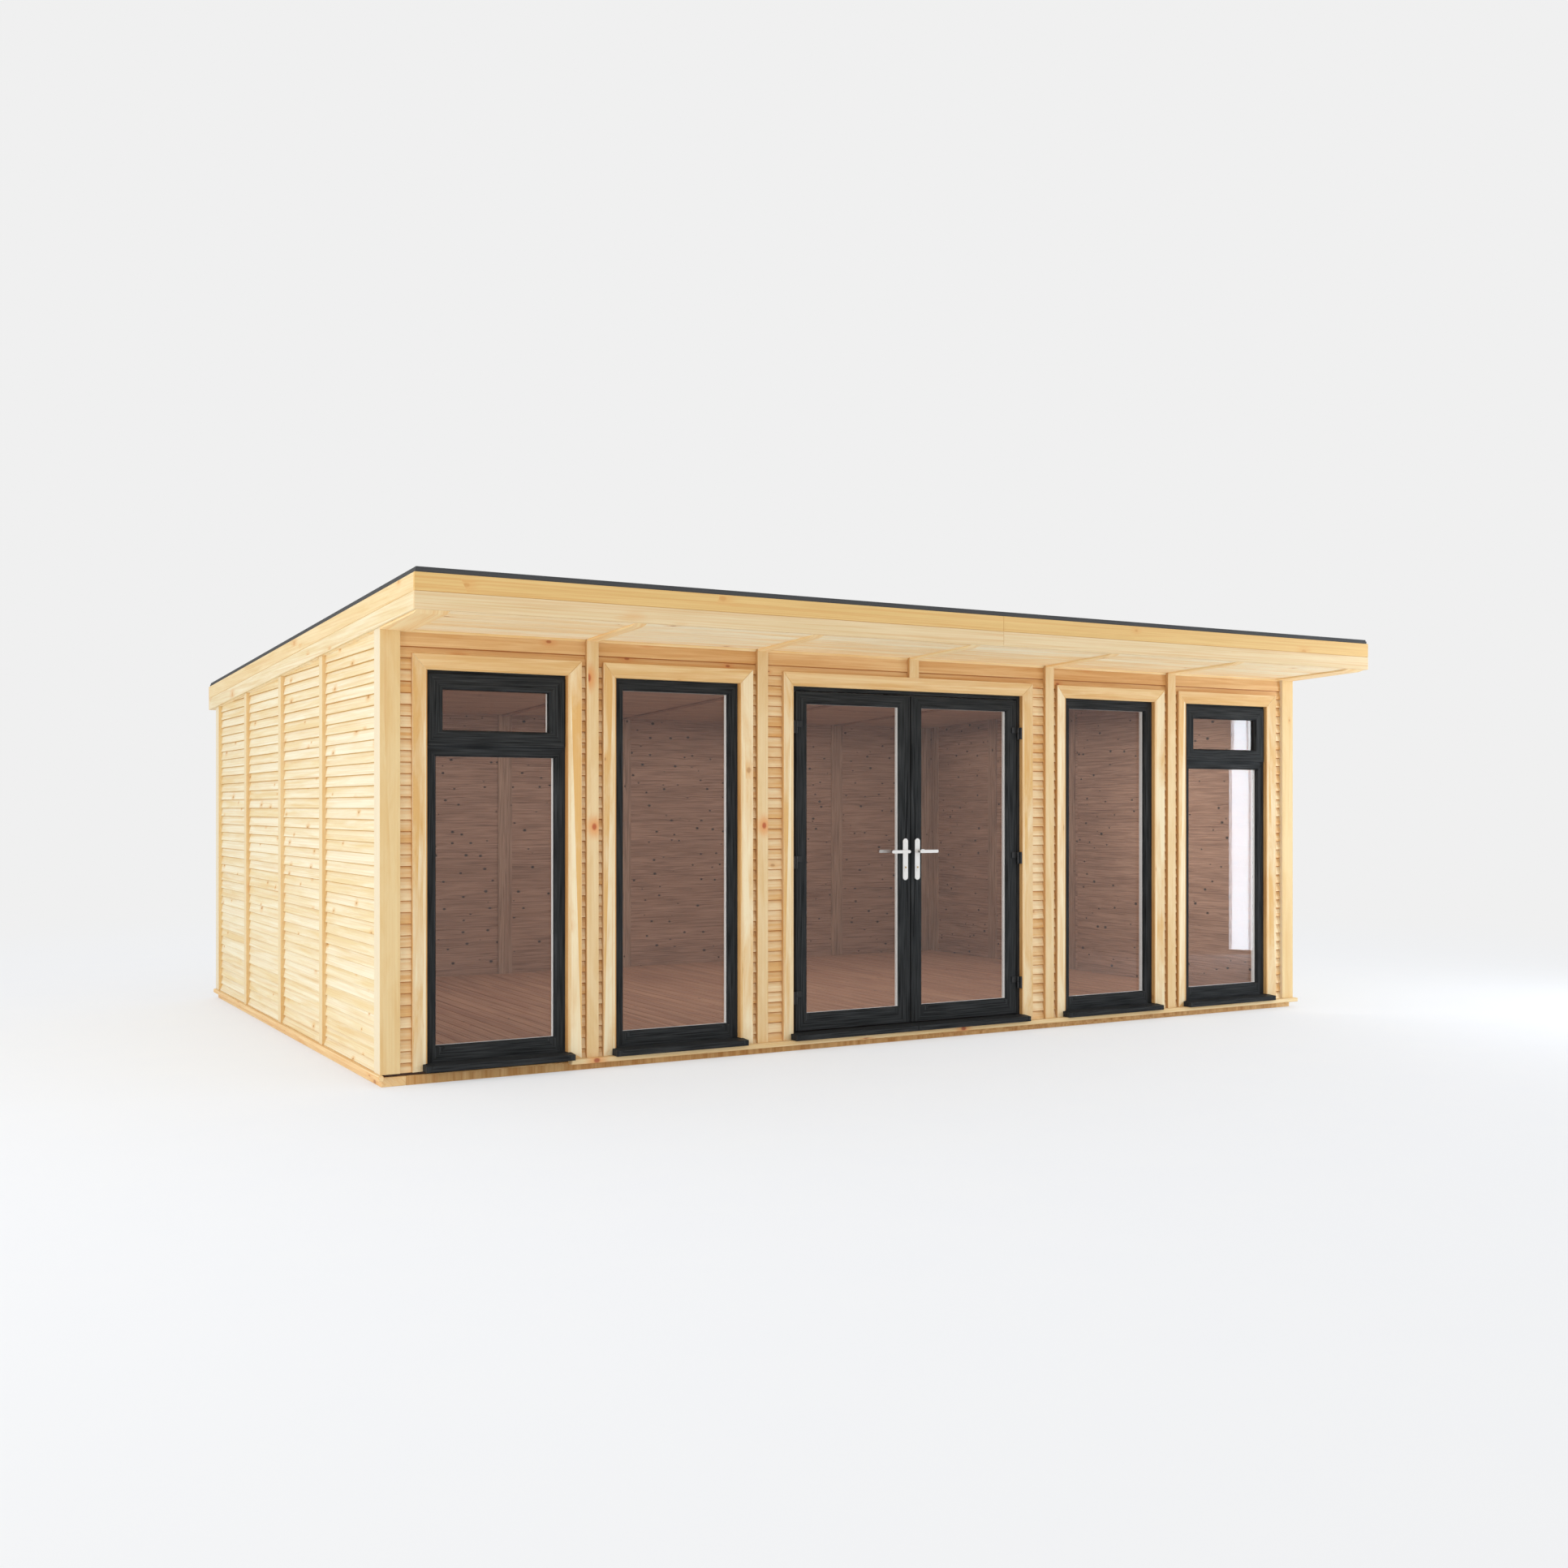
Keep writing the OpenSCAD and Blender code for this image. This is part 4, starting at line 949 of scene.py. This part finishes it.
for side in ("left", "right"):
    barrels, plugs, keyways, screws = bmesh.new(), bmesh.new(), bmesh.new(), bmesh.new()
    plates = sorted(solids(side + "_plates"), key=lambda b: b[0].y)
    for (lo, hi), out in zip(plates, (-1, 1)):
        face = lo.y if out < 0 else hi.y
        x = (lo.x + hi.x) / 2
        z = hi.z - LEVER_BELOW_TOP - BELOW_LEVER
        sunk = face + out * (PROUD - SUNK)
        prism(barrels, [(x + a, face, z + b) for a, b in barrel_outline()], (0, out * PROUD, 0))
        prism(plugs, circle(x, sunk, z, PLUG, PLUG_SIDES), (0, out * PLUG_T, 0))
        slot = [(x + a * KEYWAY[0], sunk, z + b * KEYWAY[1])
                for a, b in ((-1, -1), (1, -1), (1, 0.6), (0.4, 1), (-1, 1))]
        prism(keyways, slot, (0, out * KEYWAY_T, 0))
        for at in (hi.z - SCREW_IN, lo.z + SCREW_IN):
            screw(screws, x, face, at, out)
    piece(side + "_lock_barrels", barrels, steel, side + "_door", bevel=0.0005)
    piece(side + "_lock_plugs", plugs, brass, side + "_door")
    piece(side + "_keyways", keyways, gasket_rubber, side + "_door")
    piece(side + "_plate_screws", screws, steel, side + "_door")

# %% [markdown]
# The fixed half of each hinge is screwed to the frame, and a moulded cover hides the screws. It is as tall
# as the whole hinge, has a rounded nose and stays clear of the knuckle that turns with the door.

# %% Hinge covers
KNUCKLE, NOSE_OUT, NOSE_R = 0.008, 0.0045, 0.0045
NOSE_STEPS = 5
KNUCKLE_PLAY, EDGE_PLAY = 0.0015, 0.0004
bm = bmesh.new()
for lo, hi in solids("frame_hinges"):
    sign = 1 if lo.x > 0 else -1
    near, far = sorted((abs(lo.x), abs(hi.x)))
    inner, outer = near + 2 * KNUCKLE + KNUCKLE_PLAY, far - EDGE_PLAY
    front = lo.y - NOSE_OUT
    section = [(sign * inner, hi.y)]
    for x, start in ((inner + NOSE_R, math.pi), (outer - NOSE_R, math.pi * 1.5)):
        for i in range(NOSE_STEPS + 1):
            a = start + i * math.pi / (2 * NOSE_STEPS)
            section.append((sign * (x + NOSE_R * math.cos(a)), front + NOSE_R + NOSE_R * math.sin(a)))
    section.append((sign * outer, hi.y))
    prism(bm, [(x, y, lo.z) for x, y in section], (0, 0, hi.z - lo.z))
piece("hinge_covers", bm, powder_coat, bevel=0.0015)

# %% [markdown]
# The roof covering is a rubber sheet, bonded in strips. Its laps show as low ribs from front to back, and
# a trim of the same colour closes its edge over the fascia.

# %% Roof laps and edge trim
COVER = 0.165
LAP_W, LAP_T, LAP_SHORT = 0.08, 0.003, 0.02
LAP_PROFILE = ((-LAP_W / 2, 0.0), (LAP_W / 2, 0.0), (LAP_W / 2 - 0.004, LAP_T), (-LAP_W / 2 + 0.002, LAP_T))
TRIM_OUT, TRIM_IN, TRIM_H, TRIM_ROLL, TRIM_PLAY = 0.004, 0.0005, 0.015, 0.003, 0.0004
sheet_lo, sheet_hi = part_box("roof_membrane")
sheet_top = sheet_hi.z - soffit_z(sheet_lo.y)


def on_roof(x, y, height):
    return (x, y, soffit_z(y) + height)


bm = bmesh.new()
for x in SEAMS:
    section = [on_roof(x + a, sheet_lo.y + LAP_SHORT, sheet_top + b) for a, b in LAP_PROFILE]
    run = sheet_hi.y - sheet_lo.y - 2 * LAP_SHORT
    prism(bm, section, (0, run, -run * FALL))
piece("roof_laps", bm, roofing, bevel=0.001)

bm = bmesh.new()
loops = []
for edge, height in ((TRIM_OUT, TRIM_PLAY), (TRIM_OUT, TRIM_H),
                     (TRIM_IN, TRIM_H + TRIM_ROLL), (TRIM_IN, TRIM_PLAY)):
    x0, x1, y0, y1 = sheet_lo.x - edge, sheet_hi.x + edge, sheet_lo.y - edge, sheet_hi.y + edge
    corners = ((x0, y0), (x1, y0), (x1, y1), (x0, y1))
    loops.append([bm.verts.new(on_roof(x, y, COVER + height)) for x, y in corners])
join_loops(bm, loops + loops[:1])
piece("roof_edge_trim", bm, roofing)

# %% [markdown]
# The solids of the frame stay where their shape is right and only get a finish. Timber takes the pine
# whose grain runs along the piece. Two modifiers soften its edges without touching the mesh itself: one
# joins the loose faces, the other rounds the corners by 1 to 4 mm.

# %% Finishes of the frame's own solids
FINISHES = [
    (cap_y, "base_end_bearers end_caps"), (bearer_z, "base_cross_bearers"), (painted_shade_deck_y, "floor_deck"),
    (cap_x, "front_back_caps"), (boards_y, "left_wall right_wall"), (rear_x, "back_wall"),
    (boards_x, "front_piers front_header roof_panel"), (trim_z, "corner_posts"), (trim_y, "soffit_battens"),
    (front_batten_z, "front_battens"), (batten_z, "left_battens right_battens back_battens"),
    (architrave_z, "architrave_legs"), (architrave_x, "architrave_heads"), (roofing, "roof_membrane"),
    (fascia_x, "front_fascia back_fascia"), (fascia_y, "side_fascias"),
    (steel, "left_plates right_plates left_lever right_lever"),
    (powder_coat, "frame_hinges left_hinges right_hinges"),
    (upvc, "window_sills door_sill"), (upvc_vent, "vent_sashes"),
    (upvc_window, "window_frame_1 window_frame_2 window_frame_3 window_frame_4"),
    (upvc_door, "door_jambs door_stops door_head left_leaf right_leaf"),
    (glass, "window_panes vent_panes left_pane right_pane"),
]
finish_of = {node: finish for finish, nodes in FINISHES for node in nodes.split()}
SOFT = {"end_caps": 0.0040, "bearers": 0.0030, "pine": 0.0020, "upvc": 0.0025, "steel": 0.0012}
LEAST_SOFT, JOINED, SHARP = 0.001, 0.00002, math.radians(35)
for name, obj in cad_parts.items():
    finish = finish_of[name]
    obj.data.materials.clear()
    obj.data.materials.append(finish)
    if finish is glass:
        continue
    width = next((w for key, w in SOFT.items() if key in finish.name), LEAST_SOFT)
    joined = obj.modifiers.new("joined_faces", "WELD")
    joined.merge_threshold = JOINED
    soft = obj.modifiers.new("eased_edges", "BEVEL")
    soft.width, soft.segments, soft.limit_method = width, 2, "ANGLE"
    soft.angle_limit = SHARP
print("finished", len(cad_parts), "solids of the frame")
